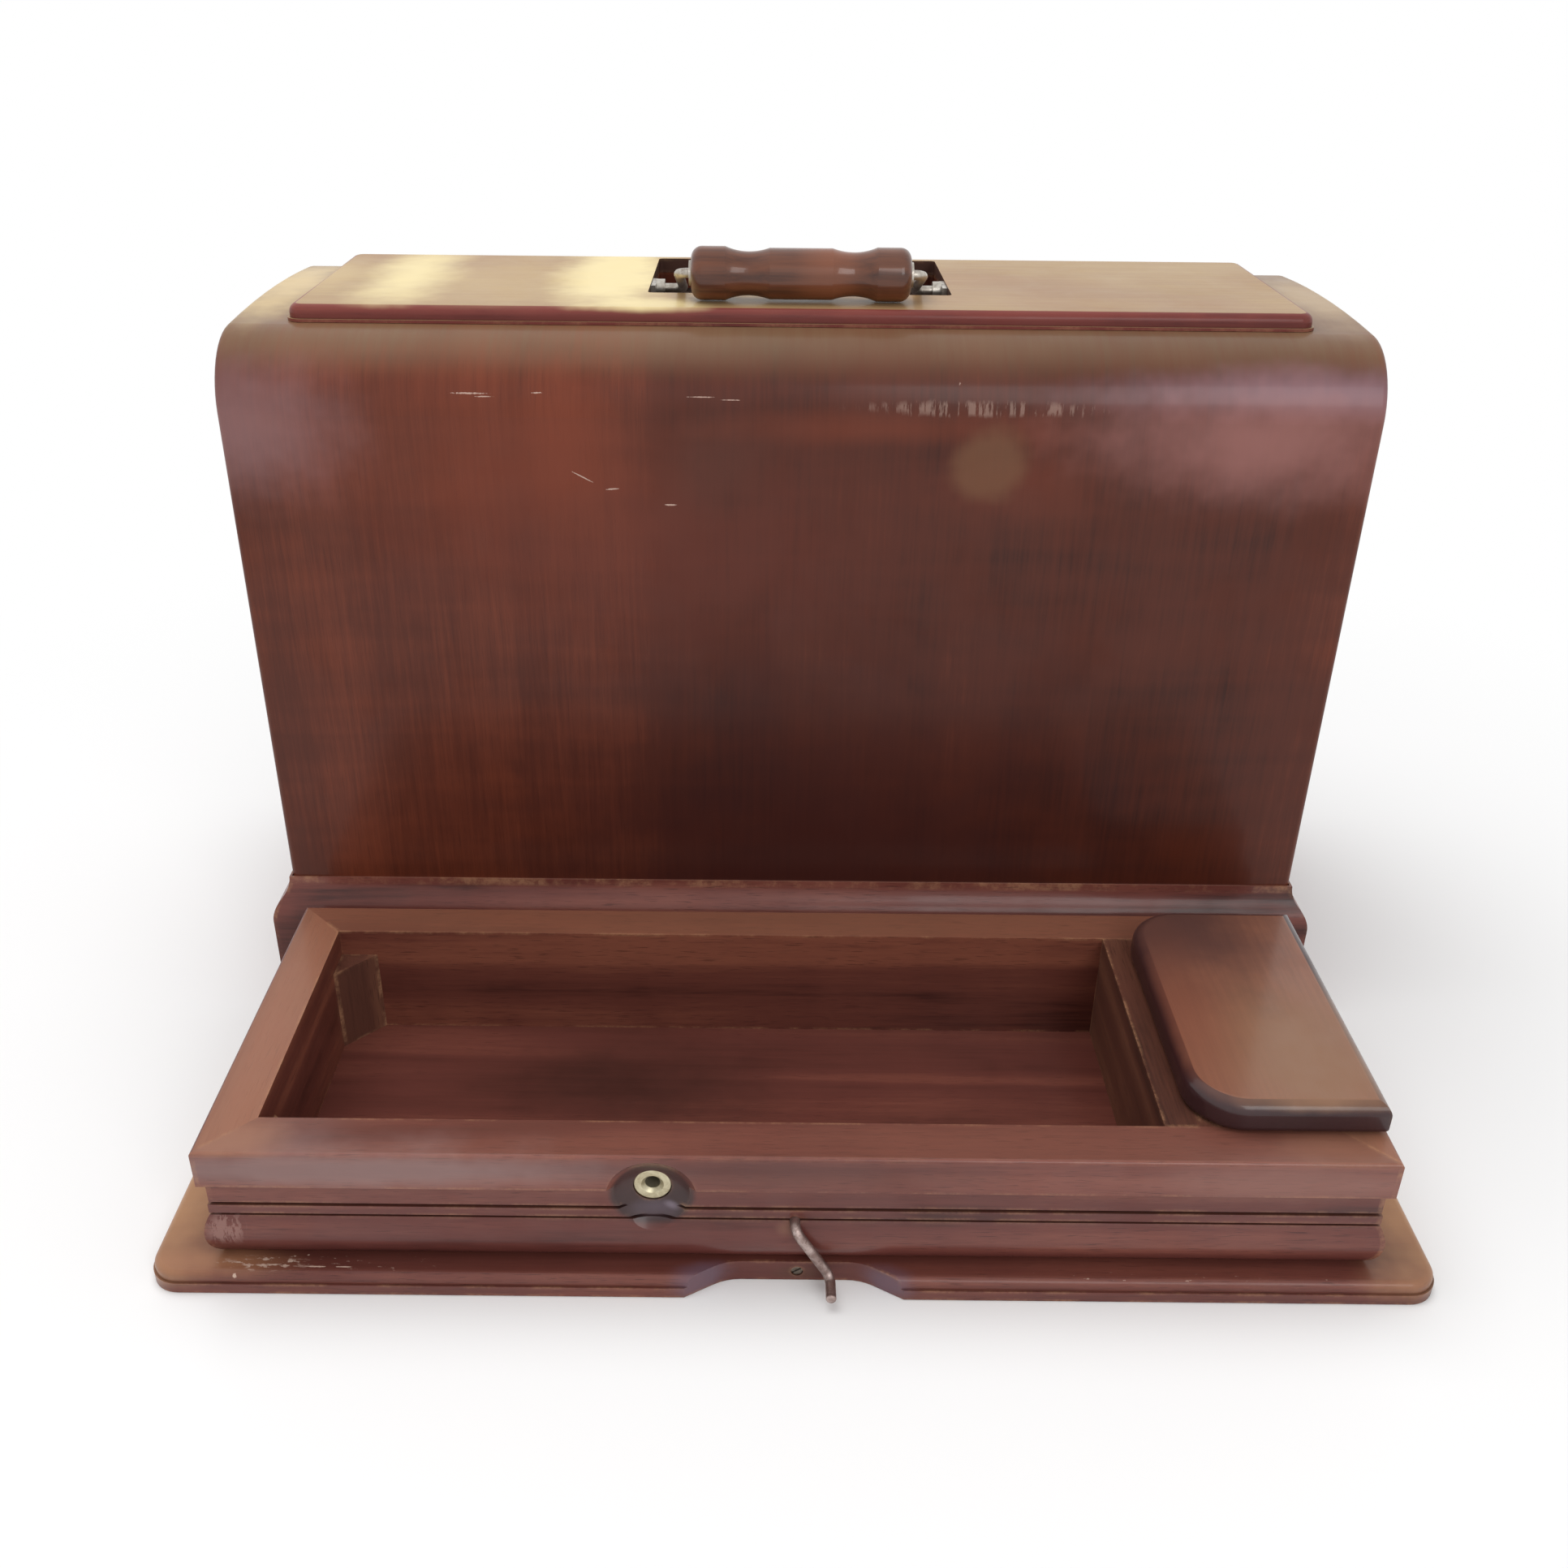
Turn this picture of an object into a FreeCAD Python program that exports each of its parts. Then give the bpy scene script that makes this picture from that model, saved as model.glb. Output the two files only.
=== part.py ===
import FreeCAD, Part
import math
import os

import Sketcher

# Wooden case of a portable sewing machine, in millimetres.  It has two halves: a
# moulded base box, with a small hinged lid over its accessory compartment and a turn
# latch at the front, and a bentwood cover that lifts off, with a folding handle let
# into its top board.  The cover stands on the table behind the base.
#
# X runs along the case to the right, Y towards the back, Z up.  The origin is the
# centre of the plinth's underside.

DIMENSIONS = {
    # plinth: the board under the base
    "ledge_ends": 23.5,
    "ledge_front": 9.0,
    "plinth_height": 9.5,
    "plinth_corner": 12.0,
    "plinth_step_height": 4.6,
    "plinth_step": 0.8,
    "plinth_round": 3.0,
    "scallop_throat": 52.0,
    "scallop_width": 84.0,
    "scallop_depth": 9.5,
    "scallop_bend": 20.0,
    # box of the base: four mitred boards with a moulding worked on the outside
    "frame_length": 448.0,
    "frame_depth": 164.0,
    "frame_top": 62.0,
    "board": 20.0,
    "band_height": 16.5,
    "band_arris": 1.5,
    "reed_height": 9.9,
    "reed_set": 2.5,
    "quirk_width": 1.0,
    "quirk_set": 4.0,
    "fillet_height": 4.0,
    "fillet_set": 2.0,
    "bead_radius": 16.5,
    "bead_foot_set": 4.0,
    "bead_bulge": 0.6,
    "partition": 14.0,
    "block_leg": 16.0,
    "block_height": 40.0,
    "lid_block_leg": 8.0,
    # compartment lid
    "compartment": 50.0,
    "lid_overlap": 5.0,
    "lid_bearing": 4.0,
    "lid_side_margin": 1.0,
    "lid_height": 13.5,
    "lid_corner": 22.0,
    "lid_top_round": 5.0,
    "lid_under_round": 3.0,
    "lid_gap": 0.3,
    # lid hinges
    "hinge_spacing": 80.0,
    "hinge_length": 25.0,
    "hinge_leaf": 1.2,
    "hinge_leaf_width": 13.0,
    "hinge_knuckle": 1.5,
    "hinge_pin": 0.75,
    "hinge_play": 0.05,
    "hinge_gap": 0.3,
    "hinge_inset": 0.3,
    # dished socket for the cover's locking pin
    "socket_x": -54.0,
    "socket_z": 42.6,
    "dish_radius": 17.0,
    "dish_depth": 7.5,
    "ferrule_bore": 2.9,
    "ferrule_tube": 4.5,
    "ferrule_flange": 7.3,
    "ferrule_flange_height": 2.2,
    "ferrule_seat_depth": 1.4,
    "ferrule_length": 10.5,
    "ferrule_edge": 0.7,
    "ferrule_sink": 1.4,
    # turn latch
    "latch_z": 29.5,
    "latch_rod": 2.0,
    "latch_arm": 27.3,
    "latch_stub": 11.8,
    "latch_bend": 4.0,
    "latch_rest_angle": 30.6,
    "latch_clearance": 0.8,
    "latch_end_round": 0.8,
    "finger_length": 20.0,
    "finger_half_width": 5.0,
    "finger_thickness": 2.5,
    "finger_rest_angle": 60.0,
    "washer_radius": 6.0,
    "washer_thickness": 1.0,
    "nut_radius": 4.3,
    "nut_height": 3.0,
    # bentwood cover
    "cover_fit": 1.5,
    "cover_top": 317.5,
    "cover_wall": 7.0,
    "shoulder_radius": 30.0,
    "crown_radius": 900.0,
    "cover_end_round": 2.5,
    "cover_gap": 2.0,
    "end_panel": 10.0,
    "pocket_width": 48.0,
    "pocket_height": 27.0,
    "pocket_round": 6.0,
    # moulded skirt of the cover
    "skirt_height": 66.0,
    "skirt_thickness": 9.0,
    "skirt_lip": 1.0,
    "skirt_ogee_height": 20.0,
    "skirt_arris": 1.5,
    # top board and handle well
    "top_board_end_margin": 23.5,
    "top_board_side_margin": 30.0,
    "top_board_rise": 4.8,
    "top_board_corner": 6.5,
    "top_board_step": 1.0,
    "top_board_step_height": 5.5,
    "top_board_round": 3.5,
    "top_board_stock": 12.0,
    "well_length": 130.0,
    "well_front": 27.3,
    "well_back_rim": 8.0,
    "well_corner": 2.0,
    "well_depth": 14.8,
    "well_floor": 7.0,
    "well_wall": 8.0,
    # folding handle
    "handle_below_top": 3.3,
    "handle_arm": 44.7,
    "handle_side_gap": 0.2,
    "handle_foot": 4.0,
    "bail_end_play": 0.7,
    "handle_wire": 2.0,
    "handle_foot_bend": 4.0,
    "handle_grip_bend": 4.4,
    "grip_end_play": 0.1,
    "grip_lobe": 10.7,
    "grip_belly": 10.2,
    "grip_neck": 8.7,
    "grip_end": 7.0,
    "grip_lobe_width": 14.0,
    "grip_end_round": 4.5,
    "grip_neck_place": 21.8,
    "grip_middle": 13.0,
    "grip_rest_gap": 0.3,
    "grip_washer": 5.0,
    "grip_washer_thickness": 1.0,
    "eye_plate": 2.0,
    "eye_half_width": 8.0,
    "eye_boss": 3.8,
    "eye_boss_length": 3.8,
    "eye_below_top": 0.8,
    "eye_play": 0.08,
    # fasteners and fits
    "wood_screw": 1.8,
    "wood_screw_head": 3.8,
    "wood_screw_length": 24.0,
    "plinth_screw_inner": 55.0,
    "plinth_screw_outer": 165.0,
    "edge_screw_x": 1.2,
    "edge_screw_z": 4.4,
    "edge_screw": 1.3,
    "edge_screw_head": 2.3,
    "edge_screw_head_height": 1.0,
    "edge_screw_length": 11.0,
    "edge_screw_sink": 0.6,
    "small_screw": 1.0,
    "small_screw_head": 2.0,
    "small_screw_length": 8.0,
    "glue_gap": 0.02,
    "bend_gap": 0.12,
    "running_play": 0.05,
}

Vector = FreeCAD.Vector
Rotation = FreeCAD.Rotation
Placement = FreeCAD.Placement

doc = FreeCAD.newDocument("sewing_machine_case")
sheet = doc.addObject("Spreadsheet::Sheet", "dims")
for row, (alias, value) in enumerate(DIMENSIONS.items(), start=1):
    sheet.set("A%d" % row, str(value))
    sheet.setAlias("A%d" % row, alias)
doc.recompute()


# ---------------------------------------------------------------------------
# sizes that carry their own expression


class Size:
    """A number together with the sheet expression that it comes from."""

    def __init__(self, value, text):
        self.value = value
        self.text = text

    def __add__(self, other):
        other = as_size(other)
        return Size(self.value + other.value, "(%s + %s)" % (self.text, other.text))

    def __sub__(self, other):
        other = as_size(other)
        return Size(self.value - other.value, "(%s - %s)" % (self.text, other.text))

    def __mul__(self, other):
        other = as_size(other)
        return Size(self.value * other.value, "(%s * %s)" % (self.text, other.text))

    def __truediv__(self, other):
        other = as_size(other)
        return Size(self.value / other.value, "(%s / %s)" % (self.text, other.text))

    def __neg__(self):
        return Size(-self.value, "(0 - %s)" % self.text)

    def __radd__(self, other):
        return as_size(other) + self

    def __rsub__(self, other):
        return as_size(other) - self

    def __rmul__(self, other):
        return as_size(other) * self


def as_size(number):
    if isinstance(number, Size):
        return number
    return Size(float(number), "(%.6f)" % number)


def square_root(size):
    return Size(math.sqrt(size.value), "sqrt(%s)" % size.text)


def arc_sine(size):
    """The angle, in degrees, with this sine."""
    return Size(math.degrees(math.asin(size.value)), "asin(%s)" % size.text)


class Dims:
    """dims.alias gives the size in the sheet cell of that alias."""

    def __getattr__(self, alias):
        return Size(float(getattr(sheet, alias)), "dims.%s" % alias)


dims = Dims()


def bind(thing, path, size):
    thing.setExpression(path, as_size(size).text)


def put(thing, x=0.0, y=0.0, z=0.0, axis=Vector(0, 0, 1), angle=0.0):
    """Turn a piece about an axis through its own origin and move it into place."""
    corner = [as_size(part) for part in (x, y, z)]
    turn = as_size(angle)
    place = Vector(*[part.value for part in corner])
    thing.Placement = Placement(place, Rotation(axis, turn.value))
    for letter, part in zip("xyz", corner):
        bind(thing, "Placement.Base.%s" % letter, part)
    if isinstance(angle, Size):
        bind(thing, "Placement.Rotation.Angle", turn)


# ---------------------------------------------------------------------------
# sketches

LEFT = 1
RIGHT = -1


def new_body(label):
    body = doc.addObject("PartDesign::Body", label)
    body.Label = label
    return body


def new_sketch(body, role, offset=None):
    """A sketch on one of the body's own planes, moved along its normal."""
    sketch = body.newObject("Sketcher::SketchObject", "sketch")
    plane = [item for item in body.Origin.OriginFeatures if item.Role == role][0]
    sketch.AttachmentSupport = [(plane, "")]
    sketch.MapMode = "FlatFace"
    if offset is not None:
        bind(sketch, "AttachmentOffset.Base.z", offset)
    return sketch


def arc_centre(start, end, radius, turn):
    """Centre of the short arc from start to end that turns left or right."""
    along = end - start
    half = along.Length / 2
    rise = math.sqrt(max(radius * radius - half * half, 0.0))
    side = Vector(-along.y, along.x, 0).normalize()
    return (start + end) * 0.5 + side * (rise * turn)


def fix(sketch, kind, where, size):
    """Add one driving constraint and bind it to the sheet."""
    size = as_size(size)
    index = sketch.addConstraint(Sketcher.Constraint(kind, *where, size.value))
    name = "%s_%d" % (kind, index)
    sketch.renameConstraint(index, name)
    sketch.setExpression("Constraints.%s" % name, size.text)


def add_path(sketch, corners, closed=True):
    """Lines and arcs through corners (x, y) or (x, y, radius, turn to the next)."""
    points = [Vector(as_size(item[0]).value, as_size(item[1]).value, 0) for item in corners]
    count = len(corners) if closed else len(corners) - 1
    ends = []
    for number in range(count):
        start = points[number]
        end = points[(number + 1) % len(points)]
        first, last = 1, 2
        if len(corners[number]) == 4:
            radius, turn = corners[number][2:]
            centre = arc_centre(start, end, as_size(radius).value, turn)
            if turn == RIGHT:
                start, end = end, start
                first, last = 2, 1
            begin = math.atan2(start.y - centre.y, start.x - centre.x)
            finish = math.atan2(end.y - centre.y, end.x - centre.x)
            circle = Part.Circle(centre, Vector(0, 0, 1), as_size(radius).value)
            edge = sketch.addGeometry(Part.ArcOfCircle(circle, begin, finish), False)
        else:
            edge = sketch.addGeometry(Part.LineSegment(start, end), False)
        ends.append((edge, first, last))
    for number in range(count):
        following = ends[(number + 1) % count]
        if closed or number < count - 1:
            joint = (ends[number][0], ends[number][2], following[0], following[1])
            sketch.addConstraint(Sketcher.Constraint("Coincident", *joint))
    for number, corner in enumerate(corners):
        edge, first, last = ends[min(number, count - 1)]
        pin = first if number < count else last
        fix(sketch, "DistanceX", (edge, pin), corner[0])
        fix(sketch, "DistanceY", (edge, pin), corner[1])
        if len(corner) == 4 and number < count:
            fix(sketch, "Radius", (edge,), corner[2])


def add_circle(sketch, x, y, radius):
    centre = Vector(as_size(x).value, as_size(y).value, 0)
    circle = Part.Circle(centre, Vector(0, 0, 1), as_size(radius).value)
    edge = sketch.addGeometry(circle, False)
    fix(sketch, "DistanceX", (edge, 3), x)
    fix(sketch, "DistanceY", (edge, 3), y)
    fix(sketch, "Radius", (edge,), radius)


def rectangle(left, bottom, right, top):
    return [(left, bottom), (right, bottom), (right, top), (left, top)]


def rounded_rectangle(left, bottom, right, top, radius):
    return [
        (left + radius, bottom),
        (right - radius, bottom, radius, LEFT),
        (right, bottom + radius),
        (right, top - radius, radius, LEFT),
        (right - radius, top),
        (left + radius, top, radius, LEFT),
        (left, top - radius),
        (left, bottom + radius, radius, LEFT),
    ]


# ---------------------------------------------------------------------------
# features


def pad(body, sketch, length, symmetric=False, reverse=False):
    feature = body.newObject("PartDesign::Pad", "pad")
    feature.Profile = sketch
    bind(feature, "Length", length)
    feature.SideType = "Symmetric" if symmetric else "One side"
    feature.Reversed = reverse
    doc.recompute()
    return feature


def must_shrink(body, feature, before):
    """A cut that misses its body shows no error, so the volumes are compared."""
    doc.recompute()
    if not feature.Shape.Volume < before:
        raise ValueError("%s cuts nothing from %s" % (feature.Name, body.Label))
    return feature


def pocket(body, sketch, length=None, symmetric=False, reverse=False):
    before = body.Tip.Shape.Volume
    feature = body.newObject("PartDesign::Pocket", "pocket")
    feature.Profile = sketch
    if length is None:
        feature.Type = "ThroughAll"
    else:
        bind(feature, "Length", length)
    feature.SideType = "Symmetric" if symmetric else "One side"
    feature.Reversed = reverse
    return must_shrink(body, feature, before)


def bore(body, radius, length, x, y, z, axis=Vector(0, 0, 1), angle=0.0):
    """A round hole that starts at a point and runs along the turned +Z axis."""
    before = body.Tip.Shape.Volume
    feature = body.newObject("PartDesign::SubtractiveCylinder", "bore")
    bind(feature, "Radius", radius)
    bind(feature, "Height", length)
    put(feature, x, y, z, axis, angle)
    return must_shrink(body, feature, before)


def revolve(body, sketch, axis):
    feature = body.newObject("PartDesign::Revolution", "turning")
    feature.Profile = sketch
    feature.ReferenceAxis = (sketch, [axis])
    feature.Angle = 360.0
    doc.recompute()
    return feature


def sweep(body, profile, path):
    feature = body.newObject("PartDesign::AdditivePipe", "wire")
    feature.Profile = profile
    feature.Spine = (path, ["Edge%d" % (number + 1) for number in range(path.GeometryCount)])
    doc.recompute()
    return feature


def dress(body, kind, radius, test):
    """Round or bevel every edge of the body whose centre and box pass the test."""
    base = body.Tip
    names = []
    for number, edge in enumerate(base.Shape.Edges, start=1):
        if test(edge):
            names.append("Edge%d" % number)
    if not names:
        raise ValueError("no edge to dress on %s" % body.Label)
    feature = body.newObject("PartDesign::%s" % kind, kind.lower())
    feature.Base = (base, names)
    bind(feature, "Radius" if kind == "Fillet" else "Size", radius)
    doc.recompute()
    return feature


def near(first, second):
    return abs(first - second) < 0.01


def level(edge, z):
    """True for an edge that lies wholly at one height."""
    return near(edge.BoundBox.ZMin, z.value) and near(edge.BoundBox.ZMax, z.value)


# ---------------------------------------------------------------------------
# primitives for fasteners and small plates


def primitive(kind, label, sizes, x=0.0, y=0.0, z=0.0, axis=Vector(0, 0, 1), angle=0.0):
    thing = doc.addObject("Part::%s" % kind, label)
    for name, size in sizes.items():
        bind(thing, name, size)
    put(thing, x, y, z, axis, angle)
    return thing


def box(label, left, front, bottom, right, back, top):
    sizes = {"Length": right - left, "Width": back - front, "Height": top - bottom}
    return primitive("Box", label, sizes, left, front, bottom)


def cylinder(label, radius, length, x, y, z, axis=Vector(0, 0, 1), angle=0.0):
    return primitive("Cylinder", label, {"Radius": radius, "Height": length}, x, y, z, axis, angle)


def fuse(label, pieces):
    thing = doc.addObject("Part::MultiFuse", label)
    thing.Shapes = pieces
    return thing


def cut(label, base, tool):
    thing = doc.addObject("Part::Cut", label)
    thing.Base = base
    thing.Tool = tool
    return thing


def group(label, pieces):
    thing = doc.addObject("Part::Compound", label)
    thing.Links = pieces
    thing.Label = label
    return thing


def screw(label, shank, head, length, x, y, z, axis=Vector(0, 0, 1), angle=0.0):
    """A countersunk screw: its head face at the point, its shank along turned +Z."""
    cone = primitive("Cone", "head", {"Radius1": head, "Radius2": shank, "Height": head - shank})
    stem = primitive("Cylinder", "stem", {"Radius": shank, "Height": length})
    both = fuse(label, [cone, stem])
    put(both, x, y, z, axis, angle)
    return both


def small_screw(label, gap, *place):
    """A hinge or eye screw, or with a gap the countersunk hole that it goes in."""
    sizes = (dims.small_screw + gap, dims.small_screw_head + gap, dims.small_screw_length)
    return screw(label, *sizes, *place)


ALONG_X = (Vector(0, 1, 0), 90.0)
AGAINST_X = (Vector(0, 1, 0), -90.0)
ALONG_Y = (Vector(1, 0, 0), -90.0)
UPWARD = (Vector(0, 0, 1), 0.0)
DOWNWARD = (Vector(1, 0, 0), 180.0)


# ---------------------------------------------------------------------------
# mitred, moulded boards: used four at a time round the base and round the cover


def mitred_board(label, profile, run, thickness, proud):
    """A moulded board along X with its outer face at y = 0, mitred at both ends.

    proud is how far the moulding swells out past the outer face.
    """
    body = new_body(label)
    sketch = new_sketch(body, "YZ_Plane")
    add_path(sketch, profile)
    pad(body, sketch, run + proud * 2, symmetric=True)
    wedges = new_sketch(body, "XY_Plane")
    outer = run / 2 + proud
    inner = run / 2 - thickness
    add_path(wedges, [(outer, -proud), (outer, thickness), (inner, thickness)])
    add_path(wedges, [(-outer, -proud), (-inner, thickness), (-outer, thickness)])
    pocket(body, wedges, symmetric=True)
    return body


def stand_round(bodies, half_length, half_depth, centre_y, z):
    """Stand front, back, left and right boards round a rectangle."""
    front, back, left, right = bodies
    put(front, 0.0, centre_y - half_depth, z)
    put(back, 0.0, centre_y + half_depth, z, angle=180.0)
    put(left, -half_length, centre_y, z, angle=-90.0)
    put(right, half_length, centre_y, z, angle=90.0)


parts = []


# ---------------------------------------------------------------------------
# plinth

frame_half_length = dims.frame_length / 2
frame_half_depth = dims.frame_depth / 2
plinth_half_length = frame_half_length + dims.ledge_ends
plinth_half_depth = frame_half_depth + dims.ledge_front
board_height = dims.frame_top - dims.plinth_height
inner_half_depth = frame_half_depth - dims.board
inner_half_length = frame_half_length - dims.board
partition_right = inner_half_length - dims.compartment


def plinth_outline(inset):
    side = plinth_half_length - inset
    end = plinth_half_depth - inset
    return rounded_rectangle(-side, -end, side, end, dims.plinth_corner - inset)


def scallop_outline():
    """Shallow bay in the front edge, with straight slopes that ease into its floor."""
    front = -plinth_half_depth
    depth = dims.scallop_depth
    floor = front + depth
    wide = dims.scallop_width / 2
    throat = dims.scallop_throat / 2
    run = wide - throat
    slope = square_root(run * run + depth * depth)
    bend = dims.scallop_bend
    ease = bend * (slope - run) / depth
    start_x = throat + ease * run / slope
    start_y = floor - ease * depth / slope
    return [
        (-wide, front - depth),
        (wide, front - depth),
        (wide, front),
        (start_x, start_y, bend, LEFT),
        (throat - ease, floor),
        (ease - throat, floor, bend, LEFT),
        (-start_x, start_y),
        (-wide, front),
    ]


plinth_screw_row = frame_half_depth - dims.board / 2
plinth_screw_places = []
for spot in (dims.plinth_screw_inner, dims.plinth_screw_outer):
    plinth_screw_places += [-spot, spot]
plinth_screws = [(x, y) for y in (-plinth_screw_row, plinth_screw_row) for x in plinth_screw_places]
screw_hole = dims.wood_screw + dims.glue_gap
scallop_face = -plinth_half_depth + dims.scallop_depth


def make_plinth():
    body = new_body("plinth_board")
    lower = new_sketch(body, "XY_Plane")
    add_path(lower, plinth_outline(as_size(0.0)))
    pad(body, lower, dims.plinth_step_height)
    upper = new_sketch(body, "XY_Plane", dims.plinth_step_height)
    add_path(upper, plinth_outline(dims.plinth_step))
    pad(body, upper, dims.plinth_height - dims.plinth_step_height)
    dress(body, "Fillet", dims.plinth_round, lambda edge: level(edge, dims.plinth_height))
    scallop = new_sketch(body, "XY_Plane")
    add_path(scallop, scallop_outline())
    pocket(body, scallop, reverse=True)
    holes = new_sketch(body, "XY_Plane")
    for x, y in plinth_screws:
        add_circle(holes, x, y, screw_hole)
    pocket(body, holes, reverse=True)
    sink = dims.wood_screw_head - dims.wood_screw
    dress(body, "Chamfer", sink, lambda edge: level(edge, as_size(0.0)) and edge.isClosed())
    x, z = dims.edge_screw_x, dims.edge_screw_z
    head_floor = scallop_face + dims.edge_screw_sink + dims.edge_screw_head_height
    bore(body, dims.edge_screw_head + dims.glue_gap, dims.scallop_depth, x,
         head_floor - dims.scallop_depth, z, *ALONG_Y)
    bore(body, dims.edge_screw + dims.glue_gap, dims.edge_screw_length, x, head_floor, z, *ALONG_Y)
    return body


def make_edge_screw():
    """Round-headed screw in the plinth's edge, under the latch."""
    x, z = dims.edge_screw_x, dims.edge_screw_z
    head_front = scallop_face + dims.edge_screw_sink
    head = cylinder("head", dims.edge_screw_head, dims.edge_screw_head_height, x, head_front, z, *ALONG_Y)
    stem_start = head_front + dims.edge_screw_head_height
    stem = cylinder("stem", dims.edge_screw, dims.edge_screw_length, x, stem_start, z, *ALONG_Y)
    return fuse("plinth_edge_screw", [head, stem])


def make_plinth_screws():
    screws = []
    for x, y in plinth_screws:
        sizes = (dims.wood_screw, dims.wood_screw_head, dims.wood_screw_length)
        screws.append(screw("plinth_screw", *sizes, x, y, 0.0, *UPWARD))
    return group("plinth_screws", screws)


parts += [make_plinth(), make_edge_screw(), make_plinth_screws()]


# ---------------------------------------------------------------------------
# box of the base


def base_profile():
    """Plain band, reed, fillet and bead, from the top of the board down."""
    top = board_height
    band = top - dims.band_height
    reed = band - dims.reed_height
    fillet_top = reed - dims.quirk_width
    fillet_foot = fillet_top - dims.fillet_height
    bead_top = fillet_foot - dims.quirk_width
    return [
        (dims.board, as_size(0.0)),
        (dims.board, top),
        (dims.band_arris, top, dims.band_arris, LEFT),
        (as_size(0.0), top - dims.band_arris),
        (as_size(0.0), band),
        (dims.reed_set, band),
        (dims.reed_set, reed),
        (dims.quirk_set, reed),
        (dims.quirk_set, fillet_top),
        (dims.fillet_set, fillet_top),
        (dims.fillet_set, fillet_foot),
        (dims.quirk_set, fillet_foot),
        (dims.quirk_set, bead_top),
        (dims.fillet_set, bead_top, dims.bead_radius, LEFT),
        (dims.bead_foot_set, as_size(0.0)),
    ]


def bore_for_screws(body):
    """Holes in the underside of a board for the screws that come up through the plinth."""
    sketch = new_sketch(body, "XY_Plane")
    for place in plinth_screw_places:
        add_circle(sketch, place, dims.board / 2, screw_hole)
    pocket(body, sketch, dims.wood_screw_length - dims.plinth_height + 1.0, reverse=True)


def sink_socket(body):
    """The dish, the ferrule's seat and its hole in the front board."""
    depth = dims.dish_depth
    z = dims.socket_z - dims.plinth_height
    ball = (dims.dish_radius * dims.dish_radius + depth * depth) / (depth * 2)
    before = body.Tip.Shape.Volume
    feature = body.newObject("PartDesign::SubtractiveSphere", "dish")
    bind(feature, "Radius", ball)
    put(feature, dims.socket_x, depth - ball, z)
    must_shrink(body, feature, before)
    seat = depth + dims.ferrule_seat_depth
    bore(body, dims.ferrule_flange + dims.glue_gap, seat, dims.socket_x, 0.0, z, *ALONG_Y)
    bore(body, dims.ferrule_tube + dims.glue_gap, dims.board, dims.socket_x, 0.0, z, *ALONG_Y)


def let_in_hinges(body):
    """Shallow seats for the two hinge leaves in the top of the right board."""
    half = dims.hinge_length / 2 + dims.glue_gap
    reach = hinge_leaf_reach + dims.glue_gap
    sketch = new_sketch(body, "XY_Plane", board_height - dims.hinge_leaf)
    for place in hinge_places:
        add_path(sketch, rectangle(place - half, -dims.bead_bulge, place + half, reach))
    pocket(body, sketch, reverse=True)
    groove_half = half + dims.hinge_gap
    for place in hinge_places:
        bore(body, dims.hinge_knuckle + dims.hinge_gap, groove_half * 2, place - groove_half,
             dims.hinge_inset, hinge_z - dims.plinth_height, *ALONG_X)
        for spot in hinge_screw_spots:
            bore(body, dims.small_screw + dims.glue_gap, dims.small_screw_length,
                 place + spot, hinge_screw_row, board_height, *DOWNWARD)


hinge_places = (-(dims.hinge_spacing / 2), dims.hinge_spacing / 2)
hinge_x = frame_half_length - dims.hinge_inset
hinge_z = dims.frame_top + dims.lid_gap / 2
hinge_leaf_reach = dims.hinge_leaf_width
hinge_screw_row = dims.hinge_leaf_width * 0.6
hinge_screw_x = frame_half_length - hinge_screw_row
hinge_screw_spots = (-(dims.hinge_length / 4), dims.hinge_length / 4)


def make_base_box():
    profile = base_profile()
    runs = (dims.frame_length, dims.frame_length, dims.frame_depth, dims.frame_depth)
    names = ("front_board", "back_board", "left_board", "right_board")
    boards = [
        mitred_board(name, profile, run, dims.board, dims.bead_bulge)
        for name, run in zip(names, runs)
    ]
    front, back, left, right = boards
    for board in (front, back):
        bore_for_screws(board)
    sink_socket(front)
    bore(front, dims.latch_rod + dims.running_play, dims.board, 0.0, 0.0,
         dims.latch_z - dims.plinth_height, *ALONG_Y)
    let_in_hinges(right)
    stand_round(boards, frame_half_length, frame_half_depth, as_size(0.0), dims.plinth_height)
    return boards


def make_partition():
    """Board between the machine well and the accessory compartment."""
    return box("well_partition", partition_right - dims.partition, -inner_half_depth,
               dims.plinth_height, partition_right, inner_half_depth, dims.frame_top)


def corner_block(label, leg, height, x, y, angle):
    """Triangular glue block that stands on the plinth, its square corner at x, y."""
    body = new_body(label)
    sketch = new_sketch(body, "XY_Plane")
    add_path(sketch, [(as_size(0.0), as_size(0.0)), (leg, as_size(0.0)), (as_size(0.0), leg)])
    pad(body, sketch, height)
    put(body, x, y, dims.plinth_height, angle=angle)
    return body


def make_corner_blocks():
    """Blocks in the corners of the box, and tall ones that fill the gaps at the lid's round corners."""
    blocks = []
    for number, (sign_x, sign_y) in enumerate(((-1, -1), (1, -1), (1, 1), (-1, 1))):
        blocks.append(corner_block("corner_block_%d" % number, dims.block_leg, dims.block_height,
                                   sign_x * inner_half_length, sign_y * inner_half_depth, 90.0 * number))
    tall = dims.frame_top - dims.plinth_height
    leg = dims.lid_block_leg
    blocks.append(corner_block("lid_block_front", leg, tall, partition_right, -inner_half_depth, 0.0))
    blocks.append(corner_block("lid_block_back", leg, tall, partition_right, inner_half_depth, 270.0))
    return group("corner_blocks", blocks)


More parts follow.
